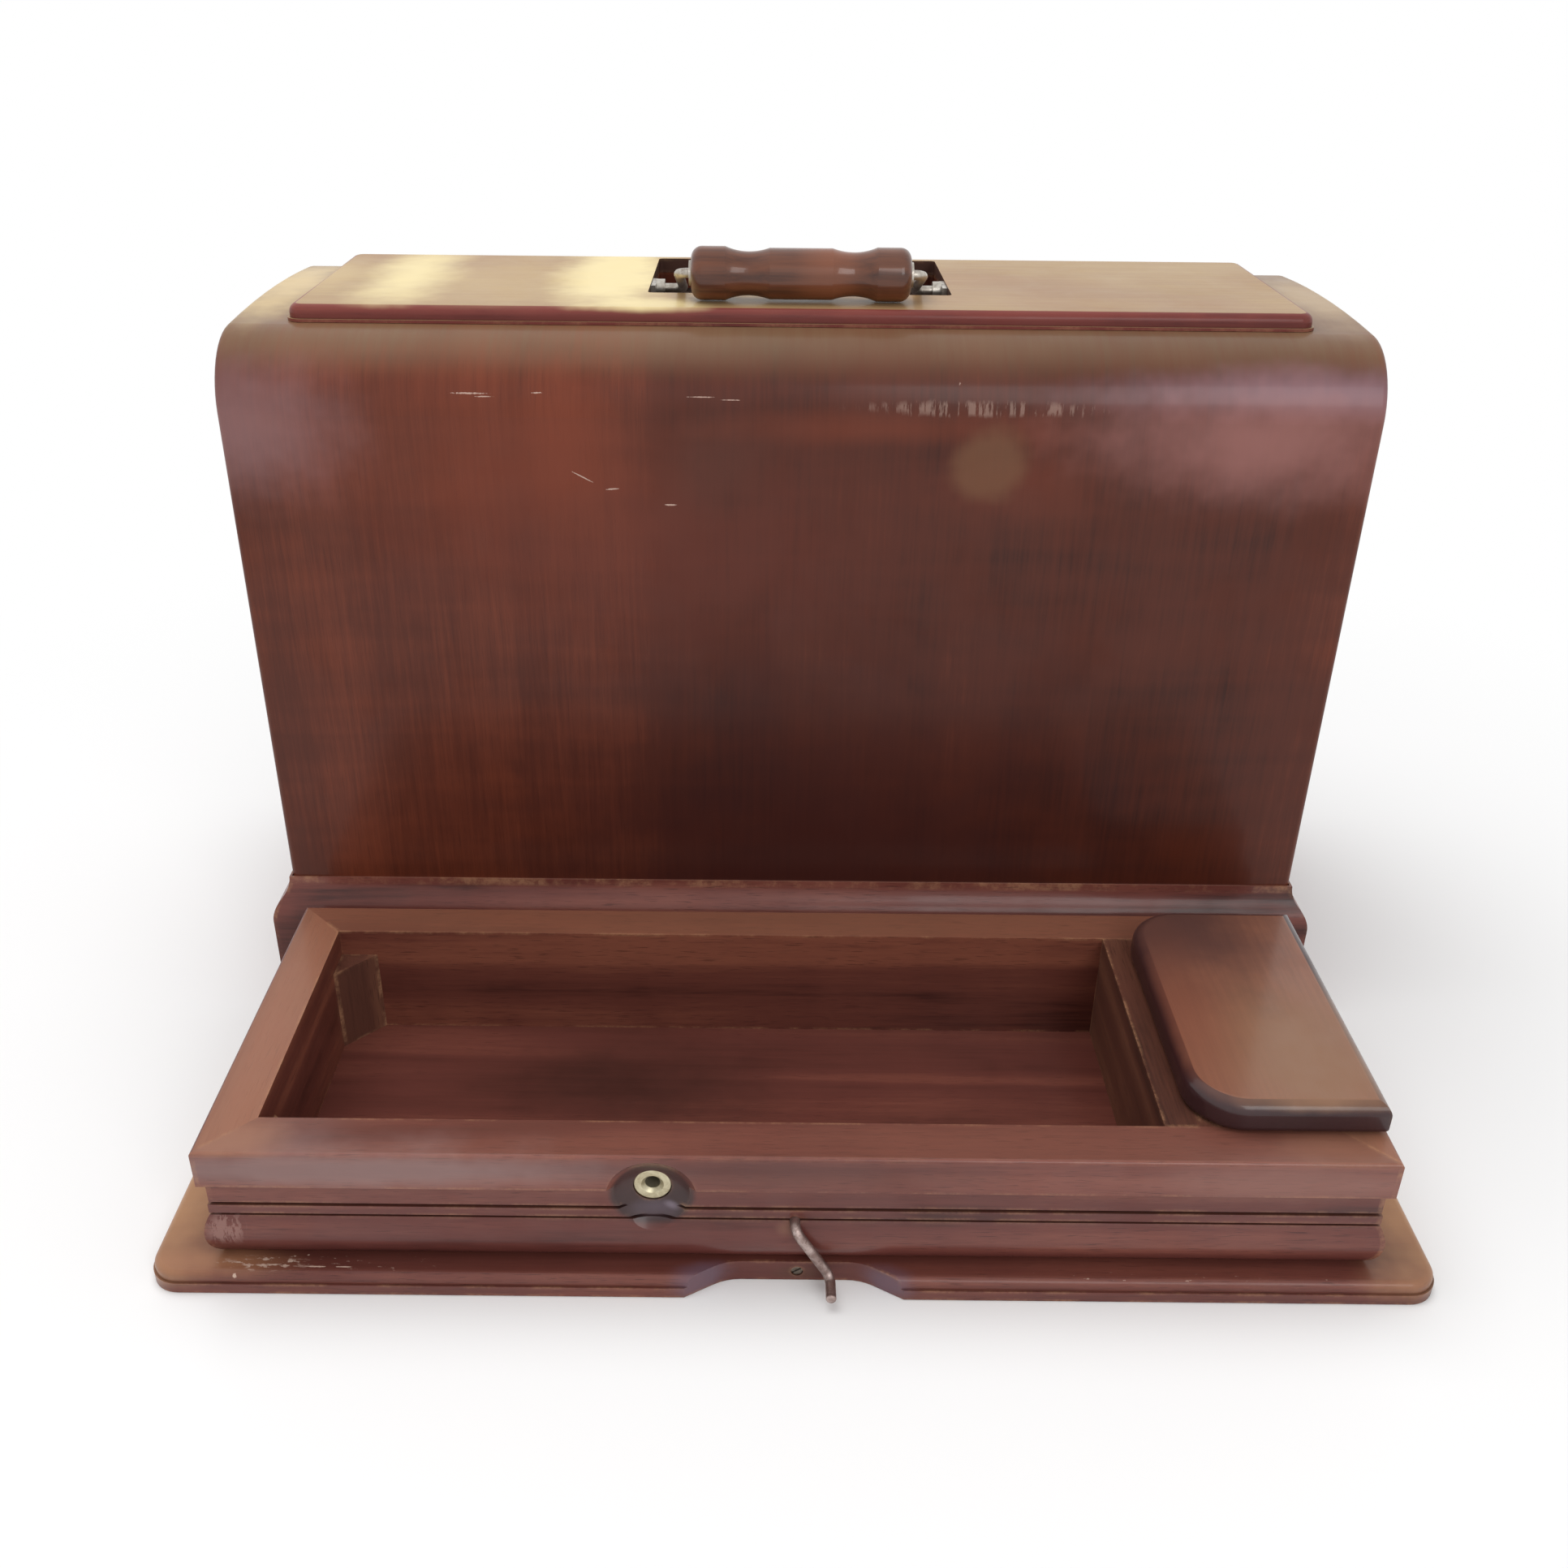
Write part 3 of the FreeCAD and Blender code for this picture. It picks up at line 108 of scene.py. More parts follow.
print("sums, ranges and noise are ready")


# %% Helpers for tones
def stain(tree, amount, under, over):
    """Lays one tone over another by an amount."""
    feeds = {0: amount, 6: under, 7: over}
    return lay(tree, "Mix", feeds, data_type="RGBA").outputs[2]


def tone(red, green, blue):
    """A tone as it looks on a screen, from 0 to 255, as the value that light needs."""
    parts = [part / 255 for part in (red, green, blue)]
    light = [part / 12.92 if part <= 0.04045 else ((part + 0.055) / 1.055) ** 2.4 for part in parts]
    return (*light, 1.0)


print("a mid grey is", [round(v, 3) for v in tone(128, 128, 128)])

# %% [markdown]
# ## A group for each effect that several finishes share
#
# Wood figure, edge wear and scuffs turn up on nearly every piece. A node group
# is the way to make such an effect once and to give each piece its own values.
# Its sockets are its only contact with the material, so they are named plainly.

# %% A blank group
KINDS = {"number": "NodeSocketFloat", "tone": "NodeSocketColor", "vector": "NodeSocketVector"}


def blank_group(name, takes, gives):
    """A group with named sockets, and the nodes at its two ends."""
    tree = bpy.data.node_groups.new(name, "ShaderNodeTree")
    for socket, (kind, value) in takes.items():
        made = tree.interface.new_socket(name=socket, in_out="INPUT", socket_type=KINDS[kind])
        made.default_value = value
    for socket, kind in gives.items():
        tree.interface.new_socket(name=socket, in_out="OUTPUT", socket_type=KINDS[kind])
    return tree, tree.nodes.new("NodeGroupInput").outputs, tree.nodes.new("NodeGroupOutput").inputs


def use_group(tree, group, feeds):
    """Places a group in a material with its own values."""
    placed = tree.nodes.new("ShaderNodeGroup")
    placed.node_tree = group
    for socket, feed in feeds.items():
        join(tree, feed, placed.inputs[socket])
    return placed.outputs


print("a group's sockets can hold a", ", a ".join(KINDS))

# %% [markdown]
# ## Mahogany figure
#
# A mahogany board shows three things at once: wide ribbons of light and dark
# where the saw crossed the growth rings, fine streaks along the fibres, and
# short open pores that stay dark because the stain and the dirt collect in
# them. All three are long along the fibres and narrow across them, so the group
# squeezes one set of coordinates by `Stretch` before it asks for noise. Rings
# come from a smooth noise passed through a sine, which turns its slopes into
# contour lines, much as a plane turns rings into a cathedral pattern. `Bands`
# says how much of the ribbons and rings shows, because quiet veneer has few.
# `Cross` adds the ripples that run across the fibres of a figured veneer.
#
# The sum of their shares, below, picks the tone between deep, middle and pale.

# %% The wood figure group
RING_SHARE = 0.26
RIBBON_SHARE = 0.42
STREAK_SHARE = 0.34
CLOUD_SHARE = 0.3
MIDDLE_OF_BANDS = 0.34
MIDDLE_OF_FIGURE = 0.34
ACROSS_THE_FIBRES = (0.11, 1, 1)
PORE_DARKNESS = 0.75


def make_wood_figure():
    """The group that turns a place in the wood into its tone, its streaks and its pores."""
    takes = {
        "Place": ("vector", (0, 0, 0)),
        "Stretch": ("vector", (0.05, 1, 1)),
        "Deep": ("tone", (0, 0, 0, 1)),
        "Middle": ("tone", (0.1, 0.1, 0.1, 1)),
        "Pale": ("tone", (0.3, 0.3, 0.3, 1)),
        "Rings": ("number", 5.0),
        "Ribbon": ("number", 22.0),
        "Bands": ("number", 1.0),
        "Cross": ("number", 0.0),
        "Pores": ("number", 0.7),
    }
    gives = {"Tone": "tone", "Streaks": "number", "Pores": "number"}
    tree, takes, gives = blank_group("wood_figure", takes, gives)
    place = takes["Place"]
    drawn = reckon_vector(tree, "MULTIPLY", place, takes["Stretch"])
    ribbon = mottle(tree, drawn, takes["Ribbon"], 2.0, 0.45, 0.4)
    turns = reckon(tree, "MULTIPLY", ribbon, reckon(tree, "MULTIPLY", takes["Rings"], math.tau))
    rings = reckon(tree, "MULTIPLY_ADD", reckon(tree, "SINE", turns), 0.5, 0.5)
    streaks = mottle(tree, drawn, 420.0, 4.0, 0.65)
    clouds = mottle(tree, place, 17.0, 3.0, 0.6, 0.5)
    across = reckon_vector(tree, "MULTIPLY", place, ACROSS_THE_FIBRES)
    ripples = reckon(tree, "SUBTRACT", mottle(tree, across, 74.0, 2.0, 0.5, 0.3), 0.5)
    wide = reckon(tree, "MULTIPLY_ADD", ribbon, RIBBON_SHARE, -MIDDLE_OF_BANDS)
    wide = reckon(tree, "MULTIPLY_ADD", rings, RING_SHARE, wide)
    whole = reckon(tree, "MULTIPLY_ADD", wide, takes["Bands"], MIDDLE_OF_FIGURE)
    whole = reckon(tree, "MULTIPLY_ADD", streaks, STREAK_SHARE, whole)
    whole = reckon(tree, "MULTIPLY_ADD", clouds, CLOUD_SHARE, whole)
    whole = reckon(tree, "MULTIPLY_ADD", ripples, takes["Cross"], whole)
    lower = stain(tree, span(tree, whole, 0.36, 0.64), takes["Deep"], takes["Middle"])
    hue = stain(tree, span(tree, whole, 0.62, 0.92), lower, takes["Pale"])
    open_pores = span(tree, mottle(tree, drawn, 2100.0, 1.0, 0.5), 0.60, 0.70)
    crowded = span(tree, rings, 0.1, 0.8, 0.35, 1.0)
    pores = reckon(tree, "MULTIPLY", open_pores, crowded)
    pores = reckon(tree, "MULTIPLY", pores, takes["Pores"])
    darkened = stain(tree, reckon(tree, "MULTIPLY", pores, PORE_DARKNESS), hue, takes["Deep"])
    join(tree, darkened, gives["Tone"])
    join(tree, streaks, gives["Streaks"])
    join(tree, pores, gives["Pores"])
    return tree


wood_figure = make_wood_figure()
print("made", wood_figure.name, "with", len(wood_figure.nodes), "nodes")

# %% [markdown]
# ## Wear on the arrises, and dirt with painted shade in the corners
#
# An arris is the sharp line where two faces meet. Hands and cloths rub it until
# the stain goes and the wood shows pale, while dirt and old polish gather in
# the quirks and corners that a cloth can't reach. Ambient occlusion finds both:
# looking outwards it darkens hollows, which paints shade there along with the
# dirt, and looking inwards it marks arrises. It looks only at the piece itself,
# so a pattern doesn't change when a part moves.

# %% The wear group
CORNER_REACH = 0.007
LOOK_AROUND = {"only_local": True, "samples": 3}


def make_wear_and_shade():
    """The group that finds the rubbed arrises of a piece, and its corners darkened by dirt and painted
    shade.
    """
    takes = {
        "Place": ("vector", (0, 0, 0)),
        "Arris": ("number", 0.0015),
        "Rubbed": ("number", 0.6),
        "Grime_Shade_Amount": ("number", 0.6),
    }
    tree, takes, gives = blank_group("wear", takes, {"Rubbed": "number", "Grime_Shade": "number"})
    inwards = lay(tree, "AmbientOcclusion", {"Distance": takes["Arris"]}, inside=True, **LOOK_AROUND)
    outwards = lay(tree, "AmbientOcclusion", {"Distance": CORNER_REACH}, **LOOK_AROUND)
    patches = mottle(tree, takes["Place"], 55.0, 5.0, 0.7)
    scrapes = mottle(tree, takes["Place"], 600.0, 2.0, 0.6)
    near = span(tree, inwards.outputs["AO"], 0.95, 0.55)
    islands = span(tree, patches, 0.42, 0.62)
    broken = reckon(tree, "MULTIPLY", islands, span(tree, scrapes, 0.3, 0.6, 0.4, 1.0))
    rubbed = reckon(tree, "MULTIPLY", near, broken)
    rubbed = reckon(tree, "MULTIPLY", rubbed, takes["Rubbed"])
    # Darkening in the hollows: dirt and painted shade together.
    deep = span(tree, outwards.outputs["AO"], 0.95, 0.35)
    deep = reckon(tree, "MULTIPLY", deep, takes["Grime_Shade_Amount"])
    grime_and_shade_mask = reckon(tree, "MULTIPLY", deep, span(tree, patches, 0.2, 0.6, 0.6, 1.0))
    join(tree, rubbed, gives["Rubbed"])
    join(tree, grime_and_shade_mask, gives["Grime_Shade"])
    return tree


wear = make_wear_and_shade()
print("made", wear.name, "with", len(wear.nodes), "nodes")

# %% [markdown]
# ## Patches: scuffs, stains and faded places
#
# A scuff is where something hard dragged over the polish: a thin pale streak
# with ragged ends. A stain, a faded place or a patch of painted light or shade is
# the same thing drawn large and soft. So one group does for all of them: it
# measures how far a point is from the patch's centre, in shares of its reach,
# adds noise to make the border ragged, and fades from `Outer` to `Inner`.
# `Before` takes the mask of an earlier patch, and the stronger of the two comes
# out, so that scuffs can be strung together.

# %% The patch group
def make_patch():
    """The group that marks the places near a centre, with a ragged border."""
    takes = {
        "Place": ("vector", (0, 0, 0)),
        "Centre": ("vector", (0, 0, 0)),
        "Reach": ("vector", (0.01, 0.01, 0.01)),
        "Tilt": ("number", 0.0),
        "Ragged": ("number", 1.1),
        "Scale": ("number", 900.0),
        "Outer": ("number", 0.9),
        "Inner": ("number", 0.55),
        "Before": ("number", 0.0),
    }
    tree, takes, gives = blank_group("patch", takes, {"Patch": "number"})
    away = reckon_vector(tree, "SUBTRACT", takes["Place"], takes["Centre"])
    turn = {"Vector": away, "Angle": takes["Tilt"]}
    level = lay(tree, "VectorRotate", turn, rotation_type="Y_AXIS").outputs[0]
    shares = reckon_vector(tree, "DIVIDE", level, takes["Reach"])
    length = reckon_vector(tree, "LENGTH", shares)
    rough = reckon(tree, "SUBTRACT", mottle(tree, takes["Place"], takes["Scale"], 3.0, 0.7), 0.5)
    ragged = reckon(tree, "MULTIPLY_ADD", rough, takes["Ragged"], length)
    mark = span(tree, ragged, takes["Outer"], takes["Inner"])
    join(tree, reckon(tree, "MAXIMUM", mark, takes["Before"]), gives["Patch"])
    return tree


patch = make_patch()
print("made", patch.name, "with", len(patch.nodes), "nodes")


# %% Helpers that lay patches
SOFT_RAGGED = 0.8
FLECK_BORDER = 0.07


def metres(values):
    """Millimetres as metres."""
    return [value / 1000 for value in values]


def lay_patch(tree, place, centre, reach, **values):
    """One patch, with its centre and its reach in millimetres."""
    feeds = {"Place": place, "Centre": metres(centre), "Reach": metres(reach), **values}
    return use_group(tree, patch, feeds)["Patch"]


def scuffs(tree, place, marks):
    """Lays several scuffs, each given as its centre, its reach and its tilt in degrees."""
    mask = 0.0
    for centre, reach, tilt in marks:
        mask = lay_patch(tree, place, centre, reach, Tilt=math.radians(tilt), Before=mask)
    return mask


def washes(tree, place, look, patches):
    """Lays soft patches over a tone: centre, reach, own tone, strength, inner edge and raggedness."""
    for centre, reach, hue, strength, inner, *ragged in patches:
        border = {"Ragged": ragged[0] if ragged else SOFT_RAGGED, "Scale": 28.0, "Outer": 1.15}
        soft = lay_patch(tree, place, centre, reach, Inner=inner, **border)
        look = stain(tree, reckon(tree, "MULTIPLY", soft, strength), look, hue)
    return look


def flecks(tree, place, centre, reach, stretch, scale, low, strength):
    """Fine broken flecks that fill a patch, drawn out along one direction by their stretch."""
    border = {"Ragged": SOFT_RAGGED, "Scale": 120.0, "Outer": 1.1, "Inner": 0.5}
    inside = lay_patch(tree, place, centre, reach, **border)
    drawn = reckon_vector(tree, "MULTIPLY", place, stretch)
    broken = mottle(tree, drawn, scale, 4.0, 0.7)
    broken = span(tree, broken, low, low + FLECK_BORDER, 0.0, strength)
    return reckon(tree, "MULTIPLY", inside, broken)


print("patches can be laid as scuffs, washes or flecks")

# %% [markdown]
# ## The mahogany finish itself
#
# Every outside board has the same finish: red stain, then French polish, which
# is many thin coats of shellac rubbed on by hand. The polish is a clear coat
# over a slightly rough wood, so each material has a Principled shader with a
# coat. The coat's own roughness is one number over the whole surface and is set
# on the shader. What varies (tone, roughness, the coat's weight and the bump)
# comes from the groups.
#
# Faces that look up are paler, partly because they have lost stain to the sun
# and to cloths and partly as painted light from above. They are found by the
# normal in the piece's own coordinates, so that they stay where they are when
# the lid opens. The mask is steep, because a rounded arris keeps its red.
# The walls of an opening are found by their normal too: they alone look towards
# the middle of the opening, and they get a painted shade.

# %% Tones of the wood, and the start of a material
DEEP_RED = tone(50, 22, 20)
RED_BROWN = tone(104, 56, 46)
ORANGE_BROWN = tone(136, 80, 62)
# The paler tone of upward faces: faded stain and painted light from above.
FADED_AND_LIT_BROWN = tone(132, 90, 70)
BARE_WOOD = tone(188, 140, 104)
SCRATCHED = tone(206, 188, 172)
GRIME_AND_PAINTED_SHADE = tone(34, 18, 16)
BLOOM_AND_SHEEN = tone(150, 122, 118)


def start_finish(name, coat=0.0, coat_roughness=0.1, specular=0.5):
    """A material with its Principled shader and the piece's own coordinates."""
    material = bpy.data.materials.new(name)
    material.use_nodes = True
    tree = material.node_tree
    shader = tree.nodes["Principled BSDF"]
    shader.inputs["Coat Weight"].default_value = coat
    shader.inputs["Coat Roughness"].default_value = coat_roughness
    shader.inputs["Specular IOR Level"].default_value = specular
    return material, tree, shader, tree.nodes.new("ShaderNodeTexCoord").outputs


print("the wood's own tones are set")


# %% Helpers that turn the pattern and find faces
def turned(tree, place, grain, shift):
    """Turns the fibres to run along X, Y or Z, and shifts the pattern, so that no two boards match."""
    turn = {"X": (0, 0, 0), "Y": (0, 0, -math.pi / 2), "Z": (0, math.pi / 2, 0)}[grain]
    feeds = {"Vector": place, "Location": shift, "Rotation": turn}
    return lay(tree, "Mapping", feeds).outputs[0]


def facing_up(tree, coordinates, low):
    """How far a face looks up, from its normal in the piece's own coordinates."""
    up = lay(tree, "SeparateXYZ", {0: coordinates["Normal"]}).outputs[2]
    return span(tree, up, low, 0.99)


def facing_opening(tree, coordinates, centre):
    """How far a face looks towards the middle of an opening, as only the opening's walls do."""
    way = reckon_vector(tree, "SUBTRACT", metres(centre), coordinates["Object"])
    facing = reckon_vector(tree, "DOT_PRODUCT", way, coordinates["Normal"])
    return span(tree, facing, 0.004, 0.012, 0.0, 0.9)


def bump(tree, shader, height, strength, distance):
    """Raises and lowers the surface by a height, without new faces."""
    feeds = {"Strength": strength, "Distance": distance, "Height": height}
    join(tree, lay(tree, "Bump", feeds).outputs[0], shader.inputs["Normal"])


print("faces can be found by where they look")

# %% [markdown]
# The finish is put together from three parts. The tone fades where a face looks
# up, partly as lost stain and partly as painted light, but its streaks still
# show through. The roughness has smears all over, and is higher on rubbed
# arrises and in scuffs. The polish lies in clouds, and there is none left on
# the grime with its painted shade, nor on scuffs.

# %% Helpers for the tone, the roughness and the coat
SMEAR_RANGE = 0.22
RUBBED_DULLNESS = 0.2
SCUFF_DULLNESS = 0.3


def faded_and_lit_tone(tree, coordinates, figure, faded_and_lit, fade_and_light, low):
    """The figure's tone, faded in clouds where a face looks up: partly lost stain, partly painted light
    from above.
    """
    clouds = span(tree, mottle(tree, coordinates["Object"], 9.0, 3.0), 0.3, 0.65, 0.7, 1.0)
    clouds = reckon(tree, "MULTIPLY", clouds, fade_and_light)
    fade_and_light_mask = reckon(tree, "MULTIPLY", facing_up(tree, coordinates, low), clouds)
    showing = span(tree, figure["Streaks"], 0.3, 0.7, 0.0, 0.2)
    faded_and_lit_streaks = stain(tree, showing, faded_and_lit, figure["Tone"])
    return stain(tree, fade_and_light_mask, figure["Tone"], faded_and_lit_streaks)


def dulled(tree, place, worn, mask, roughness):
    """The wood's roughness, with smears round a middle value."""
    smears = mottle(tree, place, 38.0, 5.0, 0.7, 0.6)
    dull = reckon(tree, "MULTIPLY_ADD", smears, SMEAR_RANGE, roughness - SMEAR_RANGE / 2)
    dull = reckon(tree, "MULTIPLY_ADD", worn["Rubbed"], RUBBED_DULLNESS, dull)
    return reckon(tree, "MULTIPLY_ADD", mask, SCUFF_DULLNESS, dull)


def kept_coat(tree, place, worn, mask, coat):
    """How much of the coat of polish is left."""
    patchy = span(tree, mottle(tree, place, 26.0, 4.0, 0.65), 0.25, 0.6, coat * 0.5, coat)
    kept = reckon(tree, "SUBTRACT", 1.0, reckon(tree, "MAXIMUM", worn["Grime_Shade"], mask))
    return reckon(tree, "MULTIPLY", patchy, kept)


print("smears change the roughness by", SMEAR_RANGE)

# %% [markdown]
# One helper then makes a whole board's finish. `fade_and_light` says how much
# paler the upper faces are, partly from lost stain and partly as painted light,
# and `low` how far a face has to look up for it, `gloss` is the roughness of the
# coat, and `rubbed` and `dirt_and_shade` say how worn the board is and how much
# dirt and painted shade lie in its hollows. Its own stains, patches of painted
# light and shade, scuffs and flecks come as tables, with a row for each that
# starts with its centre and its reach in millimetres. A patch's row goes on with
# its tone, its strength and its inner edge, a scuff's with its tilt in degrees,
# and the row of a patch of flecks with their stretch, their scale, how high the
# noise has to be for a fleck, and their strength.

# %% The helper that finishes a board
STREAK_RELIEF = 0.25
PORE_RELIEF = -0.8
SCUFF_RELIEF = -0.5
WOOD_RELIEF = 0.0002


def polished_board(
        name, grain="X", shift=(0, 0, 0), stretch=(0.05, 1, 1),
        deep=DEEP_RED, middle=RED_BROWN, pale=ORANGE_BROWN, bands=1.0, ribbon=22.0, rings=5.0,
        cross=0.0, pores=0.6, faded_and_lit=FADED_AND_LIT_BROWN, fade_and_light=0.6, low=0.93,
        coat=0.3, gloss=0.16, specular=0.25, roughness=0.42, rubbed=0.5, dirt_and_shade=0.6,
        patches=(), marks=(), chips=(), mark_tone=SCRATCHED, opening=None):
    """Mahogany with its figure, a top paler from fading and painted light, rubbed arrises, grime with
    painted shade, and scuffs under a coat of polish.
    """
    material, tree, shader, coordinates = start_finish(name, coat, gloss, specular)
    place = coordinates["Object"]
    values = {"Stretch": stretch, "Deep": deep, "Middle": middle, "Pale": pale, "Bands": bands}
    values.update({"Ribbon": ribbon, "Rings": rings, "Cross": cross, "Pores": pores})
    along = turned(tree, place, grain, shift)
    figure = use_group(tree, wood_figure, {"Place": along, **values})
    worn = use_group(tree, wear, {"Place": place, "Rubbed": rubbed, "Grime_Shade_Amount": dirt_and_shade})
    look = faded_and_lit_tone(tree, coordinates, figure, faded_and_lit, fade_and_light, low)
    look = washes(tree, place, look, patches)
    # The walls of an opening get a painted shade.
    if opening:
        opening_middle, opening_shade = opening
        look = stain(tree, facing_opening(tree, coordinates, opening_middle), look, opening_shade)
    look = stain(tree, worn["Rubbed"], look, BARE_WOOD)
    look = stain(tree, worn["Grime_Shade"], look, GRIME_AND_PAINTED_SHADE)
    mask = scuffs(tree, place, marks)
    for chip in chips:
        mask = reckon(tree, "MAXIMUM", mask, flecks(tree, place, *chip))
    join(tree, stain(tree, mask, look, mark_tone), shader.inputs["Base Color"])
    join(tree, dulled(tree, place, worn, mask, roughness), shader.inputs["Roughness"])
    join(tree, kept_coat(tree, place, worn, mask, coat), shader.inputs["Coat Weight"])
    relief = reckon(tree, "MULTIPLY", figure["Streaks"], STREAK_RELIEF)
    relief = reckon(tree, "MULTIPLY_ADD", figure["Pores"], PORE_RELIEF, relief)
    relief = reckon(tree, "MULTIPLY_ADD", mask, SCUFF_RELIEF, relief)
    bump(tree, shader, relief, 0.3, WOOD_RELIEF)
    return material


def dress(finish, *nodes):
    """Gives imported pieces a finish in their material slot."""
    for name in nodes:
        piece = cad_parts[name]
        if not piece.material_slots:
            piece.data.materials.append(finish)
        for slot in piece.material_slots:
            slot.material = finish
        print("dressed", name, "in", finish.name)


print("a board's finish is ready")

# %% [markdown]
# ## The plinth
#
# The plinth is the wide board under everything. Its two ends stand clear of the
# box and are an orange tan, partly bleached and partly painted light from above,
# while the front ledge, in the shade of the box, is still dark red. A painted
# highlight runs along the rounded foot of its front edge. Knocks have taken
# flecks out of it near its left corner, and a drop of oil has darkened the edge
# by its screw.

# %% Finish the plinth
BLEACHED_AND_LIT_TAN = tone(172, 128, 92)
# The tan ends, partly bleached and partly painted light from above, paler places at the left end of the
# ledge, a painted highlight along the rounded lower front edge, the scallop's grey slopes, and oil by
# the screw and in the well.
PLINTH_PATCHES = [
    ((-246, -20, 10), (36, 110, 12), BLEACHED_AND_LIT_TAN, 0.95, 0.2),
    ((246, -20, 10), (36, 110, 12), BLEACHED_AND_LIT_TAN, 0.95, 0.2),
    ((-222, -84, 9), (34, 9, 6), tone(160, 112, 82), 0.8, 0.2),
    ((-240, 30, 10), (16, 26, 12), tone(150, 124, 84), 0.5, 0.2),
    ((0, -96, 2.5), (270, 4, 3.5), tone(134, 86, 78), 0.6, 0.6),
    ((-34, -89, 5), (15, 9, 9), tone(106, 84, 98), 0.75, 0.4),
    ((34, -89, 5), (15, 9, 9), tone(106, 84, 98), 0.75, 0.4),
    ((3, -86, 4), (15, 6, 6), tone(74, 60, 38), 0.8, 0.3),
    ((-70, 20, 10), (80, 40, 4), tone(40, 24, 20), 0.6, 0.0),
    ((60, -14, 10), (50, 26, 4), tone(38, 24, 20), 0.5, 0.0),
]
# Pale scratches and dots near the left corner.
PLINTH_MARKS = [
    ((-183, -86.3, 9.3), (6, 0.5, 0.8), 0),
    ((-172, -86.3, 9.3), (4, 0.4, 0.8), 0),
    ((-192, -81, 10), (1.0, 0.8, 1.0), 0),
    ((-187, -80.5, 10), (0.7, 0.6, 1.0), 0),
    ((-213, -90, 8), (1.1, 1.0, 1.4), 0),
]
# Flecks along the front edge.
PLINTH_CHIPS = [
    ((-202, -84.6, 9.6), (20, 4.0, 3), (0.5, 1.4, 1), 420.0, 0.53, 0.9),
    ((-160, -84, 9.6), (30, 5, 3), (0.4, 1.2, 1), 700.0, 0.64, 0.8),
    ((150, -88, 9.0), (80, 4, 3), (0.4, 1.2, 1), 700.0, 0.66, 0.7),
]
plinth_finish = polished_board(
    "plinth_mahogany", shift=(0.2, 0.1, 0.3), fade_and_light=0.5,
    middle=tone(98, 52, 46), pale=tone(126, 72, 60), faded_and_lit=tone(104, 58, 48),
    patches=PLINTH_PATCHES, marks=PLINTH_MARKS, chips=PLINTH_CHIPS, mark_tone=tone(196, 168, 152))
dress(plinth_finish, "plinth_board")

# %% [markdown]
# ## The box of the base
#
# The base is a frame of four mitred boards. The fibres of each board run along
# its length, so the two end boards need the pattern turned by a right angle.
# The pattern is shifted on each board, because no two boards come from the same
# place in the tree. Along the left half of the front the polish is grey, partly
# bloom, which means that damp has turned it grey, and partly a painted sheen.
# The turned dish round the lock is painted almost black as shade, with painted
# highlights on its lower lip.

# %% Finish the front board
# Grey bloom with painted sheen, paler ends, a rubbed place by the latch, the dish in painted shade with
# painted highlights on its lip, and the darker middle.
FRONT_PATCHES = [
    ((-160, -82, 54), (120, 20, 10), BLOOM_AND_SHEEN, 0.6, 0.3),
    ((190, -82, 52), (70, 20, 12), tone(140, 98, 88), 0.6, 0.2),
    ((-3, -82, 27), (5, 6, 4), tone(132, 90, 70), 0.5, 0.2),
    ((-214, -74, 62), (26, 16, 3), tone(160, 112, 88), 0.7, 0.2),
    ((214, -74, 62), (40, 16, 3), tone(140, 96, 76), 0.6, 0.2),
    ((-54, -78, 41.2), (15.2, 60, 12.9), tone(46, 33, 34), 0.85, 0.95, 0.1),
    ((-53, -80, 33.5), (11, 8, 4.5), tone(104, 90, 102), 0.6, 0.2),
    ((-47, -80, 34.5), (4, 8, 2), tone(150, 136, 150), 0.6, 0.0),
    ((-5, -82, 54), (90, 20, 10), tone(84, 46, 40), 0.6, 0.2),
]
# Flecks at the left end of the moulding.
FRONT_CHIPS = [
    ((-216, -80, 24), (9, 12, 8), (1.6, 1, 0.5), 260.0, 0.47, 0.6),
]
front_finish = polished_board(
    "front_mahogany", shift=(0.5, 0.3, 0.1), coat=0.45, gloss=0.2, rubbed=0.35, dirt_and_shade=0.45,
    middle=tone(100, 52, 46), pale=tone(128, 74, 62), faded_and_lit=tone(108, 70, 58),
    patches=FRONT_PATCHES, chips=FRONT_CHIPS, mark_tone=tone(158, 122, 114))
dress(front_finish, "front_board")

# %% Finish the other three boards
back_finish = polished_board("back_mahogany", shift=(1.1, 0.7, 0.2))
dress(back_finish, "back_board")
left_finish = polished_board(
    "left_mahogany", "Y", (0.4, 0.9, 0.6), faded_and_lit=tone(156, 108, 84), fade_and_light=0.8)
dress(left_finish, "left_board")
right_finish = polished_board(
    "right_mahogany", "Y", (1.4, 0.2, 0.8), faded_and_lit=tone(146, 102, 80), fade_and_light=0.8)
dress(right_finish, "right_board")

# %% [markdown]
# ## The compartment lid
#
# The lid's board is quiet, straight wood with few rings. It is tan at the front
# right, redder at the left with a painted reflection of the cover, and dark at
# the back with the painted shadow of the machine. Its rounded edge keeps a
# nearly black tone, partly its stain and partly painted shade.

